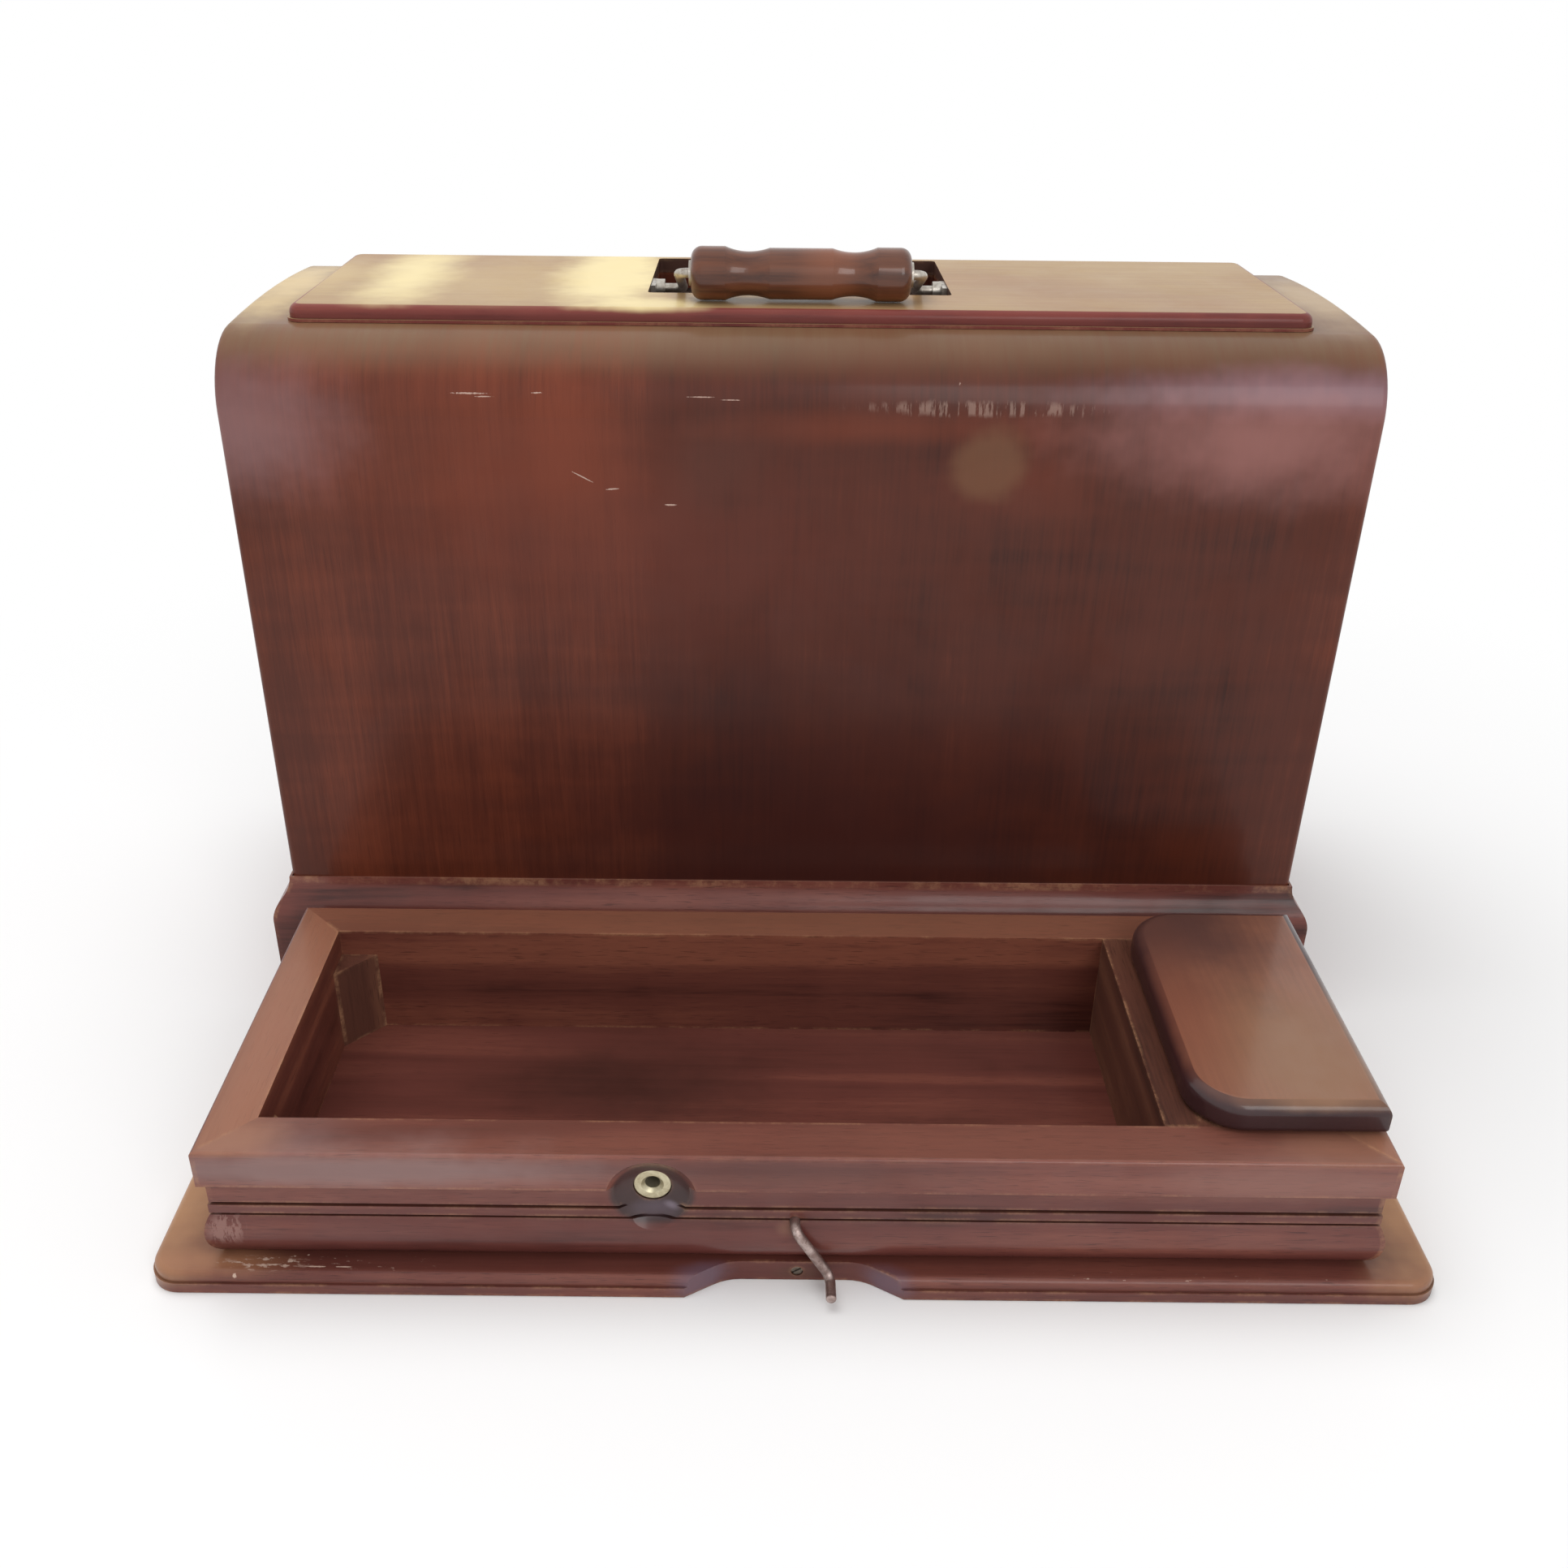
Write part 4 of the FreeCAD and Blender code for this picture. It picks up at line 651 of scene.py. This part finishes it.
# %% Finish the lid
# Tan at the front right, the painted shadow of the machine at the back, and a redder painted reflection
# of the cover at the left.
LID_PATCHES = [
    ((200, -40, 76), (52, 70, 4), tone(138, 100, 74), 0.9, 0.1),
    ((158, 62, 76), (70, 80, 4), tone(80, 52, 48), 0.9, 0.2),
    ((158, -10, 76), (24, 70, 4), tone(126, 74, 56), 0.6, 0.1),
]
lid_finish = polished_board(
    "lid_mahogany", "Y", (0.1, 0.6, 0.4), deep=tone(38, 20, 22), middle=tone(54, 30, 32),
    pale=tone(66, 38, 38), bands=0.4, ribbon=12.0, pores=0.25, faded_and_lit=tone(142, 92, 70), fade_and_light=1.0,
    low=0.975, coat=0.6, gloss=0.15, rubbed=0.1, dirt_and_shade=0.2, patches=LID_PATCHES)
dress(lid_finish, "compartment_lid")

# %% [markdown]
# ## The bent cover
#
# The cover's skin is plywood, bent while it was damp and warm round a form. Its
# outer veneer has its fibres running up the front, over the shoulder and across
# the top, so one straight direction won't do. Noise that is narrow along X and
# long along both Y and Z follows the bend by itself.
#
# The front has a bright red place at the left and a round mark where something
# stood against it. It is painted darkest low down as shade, and near the ends of
# the shoulder it carries a painted sheen. Just under the shoulder a row of fine
# upright ticks shows where the outer fibres were stretched as the sheet was bent.

# %% Finish the bent sheet
# Redder places, painted shade on the lower front, painted sheen at the ends of the shoulder, the pale
# ends of the crown, and the round mark.
COVER_PATCHES = [
    ((-120, 102, 262), (90, 30, 50), tone(120, 54, 32), 0.65, 0.0),
    ((-96, 102, 272), (24, 30, 40), tone(134, 60, 34), 0.4, 0.0),
    ((-60, 102, 226), (130, 30, 60), tone(104, 46, 32), 0.5, 0.0),
    ((-36, 102, 268), (34, 30, 30), tone(84, 44, 32), 0.5, 0.0),
    ((96, 102, 262), (50, 30, 30), tone(112, 52, 34), 0.5, 0.0),
    ((40, 102, 282), (90, 30, 9), tone(124, 58, 36), 0.5, 0.0),
    ((10, 102, 80), (230, 30, 130), tone(56, 26, 24), 0.75, 0.0),
    ((-226, 102, 280), (56, 30, 36), tone(148, 110, 110), 0.65, 0.0),
    ((205, 104, 297), (104, 30, 12), tone(152, 126, 142), 0.5, 0.0),
    ((188, 102, 279), (88, 20, 32), tone(160, 108, 102), 0.75, 0.0),
    ((-228, 200, 315), (27, 80, 9), tone(216, 190, 138), 0.8, 0.2),
    ((228, 195, 315), (22, 70, 9), tone(194, 168, 130), 0.6, 0.2),
    ((77, 102, 268), (17, 20, 17), tone(120, 82, 56), 0.6, 0.6),
]
# Scratches high on the front, and short ones on the shoulder.
COVER_MARKS = [
    ((-133, 102, 294.6), (11, 3, 0.55), 0),
    ((-127, 102, 293.4), (5, 3, 0.35), 0),
    ((-106, 102, 295), (3.4, 3, 0.5), 2),
    ((-183, 102, 305), (0.5, 3, 2.2), 20),
    ((-185, 103, 301), (0.4, 3, 1.6), -10),
    ((-217, 103, 302), (0.8, 3, 0.8), 0),
    ((67, 104, 304), (0.6, 4, 2.4), -45),
    ((63.5, 103, 300), (0.7, 4, 1.6), -10),
    ((-40, 102, 294), (8, 3, 0.3), 0),
    ((-28, 102, 293), (5, 3, 0.25), 0),
    ((-89, 102, 261), (6, 3, 0.35), -28),
    ((-77, 102, 256), (3.5, 3, 0.4), 5),
    ((-53, 102, 249.5), (3.5, 3, 0.45), 0),
]
# The row of upright ticks, and flecks down the sheet's two edges.
COVER_CHIPS = [
    ((74, 102, 290.6), (54, 6, 3.6), (1, 0.1, 0.12), 560.0, 0.5, 0.34),
    ((236, 150, 260), (2, 160, 60), (1, 0.3, 1), 260.0, 0.6, 0.7),
    ((-236, 150, 260), (2, 160, 60), (1, 0.3, 1), 260.0, 0.6, 0.7),
]
cover_finish = polished_board(
    "bent_mahogany", stretch=(1, 0.04, 0.04), shift=(0.3, 0.2, 0.5), deep=tone(50, 22, 15),
    middle=tone(84, 37, 23), pale=tone(114, 54, 34), bands=0.6, cross=0.19, ribbon=15.0, rings=2.0,
    pores=0.22, faded_and_lit=tone(126, 100, 74), fade_and_light=0.75, low=0.4, coat=0.2, specular=0.2, rubbed=0.4,
    patches=COVER_PATCHES, marks=COVER_MARKS, chips=COVER_CHIPS, mark_tone=tone(190, 160, 146))
dress(cover_finish, "bentwood_shell")

# %% [markdown]
# ## The cover's ends and skirts
#
# The two ends are flat boards with upright fibres, fitted inside the bent
# sheet. Four skirt boards run round the foot, with their fibres along them.
# They are a little paler and cleaner than the base, so both pairs share one set
# of tones and differ only in the way their fibres run and in their shift.

# %% Finish the ends and the skirts
end_finish = polished_board("end_mahogany", "Z", (0.8, 0.1, 0.2))
dress(end_finish, "end_panel_left", "end_panel_right")
SKIRT_TONES = {"middle": tone(110, 58, 50), "pale": tone(132, 76, 64), "faded_and_lit": tone(124, 84, 72)}
skirt_finish = polished_board("skirt_mahogany", shift=(0.9, 0.4, 0.7), dirt_and_shade=0.4, **SKIRT_TONES)
dress(skirt_finish, "skirt_front", "skirt_back")
skirt_end_finish = polished_board("skirt_end_mahogany", "Y", (0.3, 0.5, 0.9), dirt_and_shade=0.4, **SKIRT_TONES)
dress(skirt_end_finish, "skirt_left", "skirt_right")

# %% [markdown]
# ## The top board and its dish for the hand
#
# The top board's face is tan, partly faded by light and handling and partly
# painted light from above, and at the left it carries painted highlights in
# straw and cream, the reflection of a window in the polish. Its moulded edge
# keeps the dark red. The walls of its window and the dish under the handle are
# painted nearly black as shade.

# %% Finish the top board
CREAM_HIGHLIGHT = tone(234, 216, 160)
STRAW_HIGHLIGHT = tone(196, 170, 122)
# The dark tone that the window's walls get is painted shade.
WINDOW_SHADE = tone(66, 48, 40)
WINDOW = (0, 198, 320)
# Painted highlights in cream and straw in the left half, the reflection of a window in the polish.
TOP_HIGHLIGHTS = [
    ((-172, 205, 322.6), (24, 95, 3), CREAM_HIGHLIGHT, 0.85, 0.1),
    ((-206, 200, 322.6), (16, 50, 3), STRAW_HIGHLIGHT, 0.6, 0.1),
    ((-83, 205, 322.6), (29, 95, 3), CREAM_HIGHLIGHT, 0.9, 0.35),
    ((-62, 140, 322.6), (26, 16, 3), CREAM_HIGHLIGHT, 0.75, 0.3),
    ((-128, 190, 322.6), (40, 70, 3), STRAW_HIGHLIGHT, 0.35, 0.2),
]
top_finish = polished_board(
    "top_mahogany", shift=(0.6, 0.8, 0.1), deep=tone(64, 28, 30), middle=tone(118, 56, 50),
    pale=tone(138, 74, 62), pores=0.2, bands=0.5, faded_and_lit=tone(170, 142, 100), fade_and_light=1.0, low=0.975,
    rubbed=0.3, roughness=0.45, coat=0.2, specular=0.15, patches=TOP_HIGHLIGHTS,
    opening=(WINDOW, WINDOW_SHADE))
dress(top_finish, "top_board")

# %% Finish the dish under the handle
# The dish's near-black tones are painted shade under the grip.
dish_finish = polished_board(
    "dish_mahogany", shift=(0.2, 0.5, 0.3), deep=tone(30, 22, 20), middle=tone(58, 44, 38),
    pale=tone(76, 58, 50), faded_and_lit=tone(60, 48, 42), fade_and_light=0.3, coat=0.1, roughness=0.55)
dress(dish_finish, "handle_well")

# %% [markdown]
# ## The turned grip
#
# The grip was turned from one dark piece and polished on the lathe, so its
# gloss is the best on the whole box. Its figure is finer than a board's, and
# hands have worn its belly to a warmer brown.

# %% Finish the grip
# The warmer belly.
GRIP_PATCHES = [
    ((12, 150, 333), (16, 30, 30), tone(130, 74, 48), 0.6, 0.1),
]
grip_finish = polished_board(
    "grip_wood", shift=(0.7, 0.3, 0.6), deep=tone(52, 26, 18), middle=tone(104, 58, 36),
    pale=tone(134, 84, 52), faded_and_lit=tone(126, 80, 58), fade_and_light=0.2, bands=1.2, ribbon=36.0, pores=0.3,
    coat=0.6, gloss=0.1, roughness=0.36, rubbed=0.1, patches=GRIP_PATCHES)
dress(grip_finish, "handle_grip")

# %% [markdown]
# ## Plain wood inside
#
# Inside, the wood was only wiped with thin stain. It is quite dull, it has dust
# and painted shade in its corners, and years of machine oil have soaked into it.
# It has no coat of polish, so it needs only the figure, the wear and a stronger
# bump.

# %% Finish the inside pieces
INSIDE_TONES = {"Deep": tone(50, 28, 22), "Middle": tone(92, 54, 42), "Pale": tone(116, 74, 56)}
OILY_DUST_AND_SHADE = tone(48, 34, 28)


def plain_wood(name, grain, shift=(0, 0, 0)):
    """Wood that was stained but never polished."""
    material, tree, shader, coordinates = start_finish(name, specular=0.3)
    place = coordinates["Object"]
    along = turned(tree, place, grain, shift)
    figure = use_group(tree, wood_figure, {"Place": along, "Rings": 4.0, **INSIDE_TONES})
    worn = use_group(tree, wear, {"Place": place, "Grime_Shade_Amount": 0.85})
    look = stain(tree, worn["Rubbed"], figure["Tone"], BARE_WOOD)
    look = stain(tree, worn["Grime_Shade"], look, OILY_DUST_AND_SHADE)
    join(tree, look, shader.inputs["Base Color"])
    dull = reckon(tree, "MULTIPLY_ADD", figure["Streaks"], 0.2, 0.6)
    join(tree, dull, shader.inputs["Roughness"])
    relief = reckon(tree, "SUBTRACT", figure["Streaks"], figure["Pores"])
    bump(tree, shader, relief, 0.4, 0.0003)
    return material


dress(plain_wood("inner_wood", "Y"), "well_partition")
dress(plain_wood("block_wood", "Z", (0.3, 0.1, 0.6)), "corner_blocks")

# %% [markdown]
# ## Metal fittings
#
# The fittings are of three metals: pale plated ones, brass that has gone dull,
# and plain steel with brown spots of rust. A metal's look is mostly in its
# roughness, so each has fine scratches and a cloudy tarnish that change the
# roughness as well as the tone.

# %% The helper that finishes metal
RUST = tone(92, 52, 34)
METAL_GRIME_AND_SHADE = tone(40, 32, 28)
SCRATCH_RANGE = 0.15
TARNISH_DULLNESS = 0.25
DIRT_DULLNESS = 0.3


def old_metal(name, bright, tarnish, tarnished, roughness=0.32, spots=0.0):
    """Metal with clouds of tarnish, fine scratches, spots of rust, and corners darkened by dirt and
    painted shade.
    """
    material, tree, shader, coordinates = start_finish(name)
    place = coordinates["Object"]
    worn = use_group(tree, wear, {"Place": place, "Arris": 0.0005, "Rubbed": 1.0, "Grime_Shade_Amount": 0.8})
    clouds = mottle(tree, place, 160.0, 5.0, 0.7, 0.4)
    scratches = mottle(tree, place, 1400.0, 2.0, 0.6)
    dim = reckon(tree, "MULTIPLY", span(tree, clouds, 0.35, 0.65), tarnished)
    rust = span(tree, mottle(tree, place, 420.0, 4.0, 0.7), 0.56, 0.66)
    rust = reckon(tree, "MULTIPLY", rust, spots)
    look = stain(tree, dim, bright, tarnish)
    look = stain(tree, worn["Rubbed"], look, bright)
    look = stain(tree, rust, look, RUST)
    look = stain(tree, worn["Grime_Shade"], look, METAL_GRIME_AND_SHADE)
    join(tree, look, shader.inputs["Base Color"])
    # Rust, and dirt with painted shade in the corners.
    dirt = reckon(tree, "MAXIMUM", rust, worn["Grime_Shade"])
    join(tree, span(tree, dirt, 0.0, 1.0, 1.0, 0.15), shader.inputs["Metallic"])
    dull = reckon(tree, "MULTIPLY_ADD", scratches, SCRATCH_RANGE, roughness - 0.07)
    dull = reckon(tree, "MULTIPLY_ADD", dim, TARNISH_DULLNESS, dull)
    dull = reckon(tree, "MULTIPLY_ADD", dirt, DIRT_DULLNESS, dull)
    join(tree, dull, shader.inputs["Roughness"])
    bump(tree, shader, reckon(tree, "MULTIPLY_ADD", rust, 0.6, scratches), 0.2, 0.0001)
    return material


print("a metal's finish is ready")

# %% Finish the metal
plated = old_metal("plated_ferrule", tone(214, 206, 176), tone(164, 148, 116), 0.6, roughness=0.4)
dress(plated, "lock_socket_ferrule", "cover_lock_ferrule")
brass = old_metal("dull_brass", tone(196, 164, 100), tone(120, 92, 54), 0.8)
dress(brass, "hinge_leaves_base", "hinge_leaves_lid", "hinge_pins")
latch_steel = old_metal("worn_steel", tone(192, 174, 168), tone(122, 98, 92), 0.8, 0.35, spots=0.6)
dress(latch_steel, "latch_lever", "latch_finger", "latch_washer", "latch_nut")
handle_steel = old_metal("handle_steel", tone(206, 200, 190), tone(132, 120, 108), 0.6, spots=0.3)
dress(handle_steel, "bail_wire", "bail_eye_left", "bail_eye_right", "grip_washers")
screw_steel = old_metal("screw_steel", tone(150, 140, 128), tone(84, 70, 58), 0.8, spots=0.8)

# %% [markdown]
# ## Slotted screws
#
# Every screw in the box has one straight slot, cut by a saw. A slot is easiest
# to make as what is left between two raised halves: a disc is cut down to a
# half, drawn down to the slot's floor, and the other half is the same shape
# turned round. A cone and a stem go under them. All the screws of one node
# become one piece, which stands for that node and rides on the same body.

# %% A helper that raises half of a screw's head
HEAD_SIDES = 40
STEM_SIDES = 24
HEAD_SHARE = 0.45
RIM_SHARE = 0.05
TIP_SHARE = 0.7


def raise_half(shape, head, depth, slot, side):
    """Raises one half of the head, on one side of the slot, and rounds its rim."""
    made = bmesh.ops.create_circle(shape, cap_ends=True, segments=HEAD_SIDES, radius=head)["verts"]
    geometry = made + list({edge for vert in made for edge in vert.link_edges})
    geometry += list({face for vert in made for face in vert.link_faces})
    bounds = {"plane_co": (0, slot / 2, 0), "plane_no": (0, 1, 0)}
    cut = bmesh.ops.bisect_plane(shape, geom=geometry, clear_inner=True, **bounds)["geom"]
    half = [item for item in cut if isinstance(item, bmesh.types.BMFace)]
    below = bmesh.ops.extrude_face_region(shape, geom=half, use_keep_orig=True)["geom"]
    floor = [item for item in below if isinstance(item, bmesh.types.BMVert)]
    narrow = (head - depth) / head
    bmesh.ops.translate(shape, verts=floor, vec=(0, 0, -depth))
    bmesh.ops.scale(shape, verts=floor, vec=(narrow, narrow, 1))
    rim = list(half[0].edges)
    corners = list({vert for edge in rim for vert in edge.verts})
    turn = Matrix.Rotation(side, 3, "Z")
    bmesh.ops.rotate(shape, verts=floor + corners, cent=(0, 0, 0), matrix=turn)
    rounding = {"offset": head * RIM_SHARE, "segments": 2, "profile": 0.5, "material": -1}
    bmesh.ops.bevel(shape, geom=rim, affect="EDGES", **rounding)


print("the slot's floor lies", HEAD_SHARE, "of the way down the head")


# %% A helper that turns one slotted screw
def turn_screw(head, shank, length, slot, place, facing, spin):
    """Makes one countersunk screw; its head is at the place, in millimetres, and looks along facing."""
    shape = bmesh.new()
    countersink = head - shank
    depth = countersink * HEAD_SHARE
    for side in (0.0, math.pi):
        raise_half(shape, head, depth, slot, side)
    neck = head - depth
    taper = {"radius1": shank, "radius2": neck, "depth": neck - shank}
    middle = Matrix.Translation((0, 0, -depth - (neck - shank) / 2))
    bmesh.ops.create_cone(shape, cap_ends=True, segments=HEAD_SIDES, matrix=middle, **taper)
    stem = {"radius1": shank * TIP_SHARE, "radius2": shank, "depth": length - countersink}
    middle = Matrix.Translation((0, 0, -countersink - (length - countersink) / 2))
    bmesh.ops.create_cone(shape, cap_ends=True, segments=STEM_SIDES, matrix=middle, **stem)
    turn = Vector(facing).to_track_quat("Z", "Y").to_matrix().to_4x4()
    whole = Matrix.Translation(place) @ turn @ Matrix.Rotation(math.radians(spin), 4, "Z")
    to_metres = Matrix.Scale(0.001, 4)
    bmesh.ops.transform(shape, matrix=to_metres @ whole, verts=shape.verts)
    bmesh.ops.recalc_face_normals(shape, faces=shape.faces)
    mesh = bpy.data.meshes.new("one_screw")
    shape.to_mesh(mesh)
    shape.free()
    return mesh


print("a screw can be turned")

# %% [markdown]
# The screws in the eyes and hinges are small, the ones that hold the box to the
# plinth are larger, and the one in the plinth's edge is between them. No two
# slots of one kind point the same way. Each place below is given as x, y, z and
# the angle of its slot, in millimetres and degrees.

# %% A helper that lays the screws of one node
def lay_screws(name, node, body, sizes, facing, places):
    """One piece with a screw at each place. Those that face inwards look towards the box's middle."""
    shape = bmesh.new()
    for x, y, z, spin in places:
        way = (-math.copysign(1, x), 0, 0) if facing == "inwards" else facing
        one = turn_screw(*sizes, (x, y, z), way, spin)
        shape.from_mesh(one)
        bpy.data.meshes.remove(one)
    mesh = bpy.data.meshes.new(name)
    shape.to_mesh(mesh)
    shape.free()
    mesh.materials.append(screw_steel)
    piece = bpy.data.objects.new(name, mesh)
    bpy.context.scene.collection.objects.link(piece)
    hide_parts(node)
    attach(piece, body)
    print(name, "has", len(places), "screws and", len(mesh.polygons), "faces")


print("screws can be laid in sets")

# %% Make the screws
# Each size is the head's radius, the shank's radius, the length and the slot's width.
EDGE_SCREW = (2.3, 1.3, 12.0, 0.6)
PLINTH_SCREW = (3.8, 1.8, 24.0, 0.8)
SMALL_SCREW = (2.0, 1.0, 8.0, 0.5)
FORWARDS = (0, -1, 0)
DOWN = (0, 0, -1)
UP = (0, 0, 1)
HINGE_SCREW_X = 216.2
HINGE_SCREWS_Y = (-46.25, -33.75, 33.75, 46.25)
edge_place = [(1.2, -80.9, 4.4, 35)]
plinth_places = [(x, y, 0.0, x * 1.7 + y) for y in (-72, 72) for x in (-165, -55, 55, 165)]
base_hinge_places = [(HINGE_SCREW_X, y, 62.0, y * 3.1) for y in HINGE_SCREWS_Y]
lid_hinge_places = [(HINGE_SCREW_X, y, 62.3, y * 2.3) for y in HINGE_SCREWS_Y]
eye_places = [(x, y, 313.2, x + y * 5) for x in (-62.98, 62.98) for y in (187.3, 197.7)]
lay_screws("slotted_edge_screw", "plinth_edge_screw", "base", EDGE_SCREW, FORWARDS, edge_place)
lay_screws("slotted_plinth_screws", "plinth_screws", "base", PLINTH_SCREW, DOWN, plinth_places)
lay_screws("slotted_base_hinge_screws", "hinge_screws_base", "base", SMALL_SCREW, UP, base_hinge_places)
lay_screws("slotted_lid_hinge_screws", "hinge_screws_lid", "lid", SMALL_SCREW, DOWN, lid_hinge_places)
lay_screws("slotted_eye_screws", "bail_eye_screws", "cover", SMALL_SCREW, "inwards", eye_places)

# %% [markdown]
# ## The studio
#
# The box stands on a pale floor. A wide soft lamp hangs above and behind it, a
# second one fills from the front, and the sky gives the rest. The camera and
# mirrors see the sky as plain white, and the floor turns to the same white away
# from the box, so that no horizon shows.

# %% A helper for rays
def seen_plainly(tree):
    """Is 1 for rays from the camera, and for rays that a mirror or something clear passes on."""
    rays = lay(tree, "LightPath", {}).outputs
    passed_on = reckon(tree, "MAXIMUM", rays["Is Glossy Ray"], rays["Is Transmission Ray"])
    return reckon(tree, "MAXIMUM", rays["Is Camera Ray"], passed_on)


print("the camera and mirrors can be told from other rays")

# %% The floor
FLOOR_MIDDLE = (0, 0.1, 0)
FLOOR_RADIUS = 6.0
BELOW_THE_BOX = 0.0002
WHITE_FROM = 0.26
WHITE_AT = 0.75
floor_mesh = bpy.data.meshes.new("studio_floor")
shape = bmesh.new()
bmesh.ops.create_circle(shape, cap_ends=True, segments=96, radius=FLOOR_RADIUS)
bmesh.ops.translate(shape, verts=shape.verts, vec=FLOOR_MIDDLE)
bmesh.ops.translate(shape, verts=shape.verts, vec=(0, 0, -BELOW_THE_BOX))
shape.to_mesh(floor_mesh)
shape.free()
floor = bpy.data.objects.new("studio_floor", floor_mesh)
bpy.context.scene.collection.objects.link(floor)

paper, tree, shader, coordinates = start_finish("studio_paper", specular=0.2)
shader.inputs["Base Color"].default_value = tone(246, 246, 246)
shader.inputs["Roughness"].default_value = 0.9
away = reckon_vector(tree, "SUBTRACT", coordinates["Object"], FLOOR_MIDDLE)
away = reckon_vector(tree, "LENGTH", away)
white = lay(tree, "Emission", {"Color": (1, 1, 1, 1), "Strength": 1.0}).outputs[0]
share = span(tree, away, WHITE_FROM, WHITE_AT)
share = reckon(tree, "MULTIPLY", seen_plainly(tree), share)
both = lay(tree, "MixShader", {0: share, 1: shader.outputs[0], 2: white}).outputs[0]
join(tree, both, tree.nodes["Material Output"].inputs["Surface"])
floor_mesh.materials.append(paper)
print("the floor turns white from", WHITE_FROM, "to", WHITE_AT, "m away")

# %% The sky
SKY_FOR_LIGHT = 0.6
SKY_FOR_THE_EYE = 1.0
world = bpy.data.worlds.new("studio_sky")
bpy.context.scene.world = world
world.use_nodes = True
tree = world.node_tree
strength = span(tree, seen_plainly(tree), 0.0, 1.0, SKY_FOR_LIGHT, SKY_FOR_THE_EYE)
tree.nodes["Background"].inputs["Color"].default_value = (1, 1, 1, 1)
join(tree, strength, tree.nodes["Background"].inputs["Strength"])
print("the sky lights the box at", SKY_FOR_LIGHT)

# %% The lamps
BOX_MIDDLE = (0, 0.1, 0.15)


def soft_lamp(name, place, size, power):
    """A square lamp that points from its place to the middle of the box."""
    lamp = bpy.data.lights.new(name, "AREA")
    lamp.shape = "SQUARE"
    lamp.size = size
    lamp.energy = power
    holder = bpy.data.objects.new(name, lamp)
    holder.location = place
    way = Vector(BOX_MIDDLE) - Vector(place)
    holder.rotation_euler = way.to_track_quat("-Z", "Y").to_euler()
    bpy.context.scene.collection.objects.link(holder)
    return holder


# The top lamp would show as a hard square in the polish, so reflections leave it out.
overhead = soft_lamp("soft_top", (-0.35, 0.3, 1.75), 1.4, 17)
overhead.visible_glossy = False
soft_lamp("soft_front", (0.62, -1.5, 1.15), 0.9, 9)
bpy.context.scene.view_settings.view_transform = "Standard"
print("the studio is lit")

# %% [markdown]
# ## The camera
#
# The camera looks down on the box by 29 degrees from close by, through a 35 mm
# lens. It leans by half a degree, as a camera in the hand does. Its tilt is
# counted from straight down, so looking level would be 90 degrees.

# %% Camera
CAMERA_PLACE = (-0.0144, -0.5064, 0.4542)
CAMERA_TILT = 61.07
CAMERA_LEAN = 0.57
eye = bpy.data.cameras.new("studio_camera")
eye.lens = 35.03
eye.sensor_width = 36.0
eye.shift_x = 0.0145
stand = bpy.data.objects.new("studio_camera", eye)
lean = Matrix.Rotation(math.radians(CAMERA_LEAN), 4, "Z")
pitch = Matrix.Rotation(math.radians(CAMERA_TILT), 4, "X")
stand.matrix_world = Matrix.Translation(CAMERA_PLACE) @ pitch @ lean
bpy.context.scene.collection.objects.link(stand)
bpy.context.scene.camera = stand
print("the camera stands at", tuple(round(v, 3) for v in stand.location))

# %% [markdown]
# ## The end
#

# %% Update the view layer
bpy.context.view_layer.update()
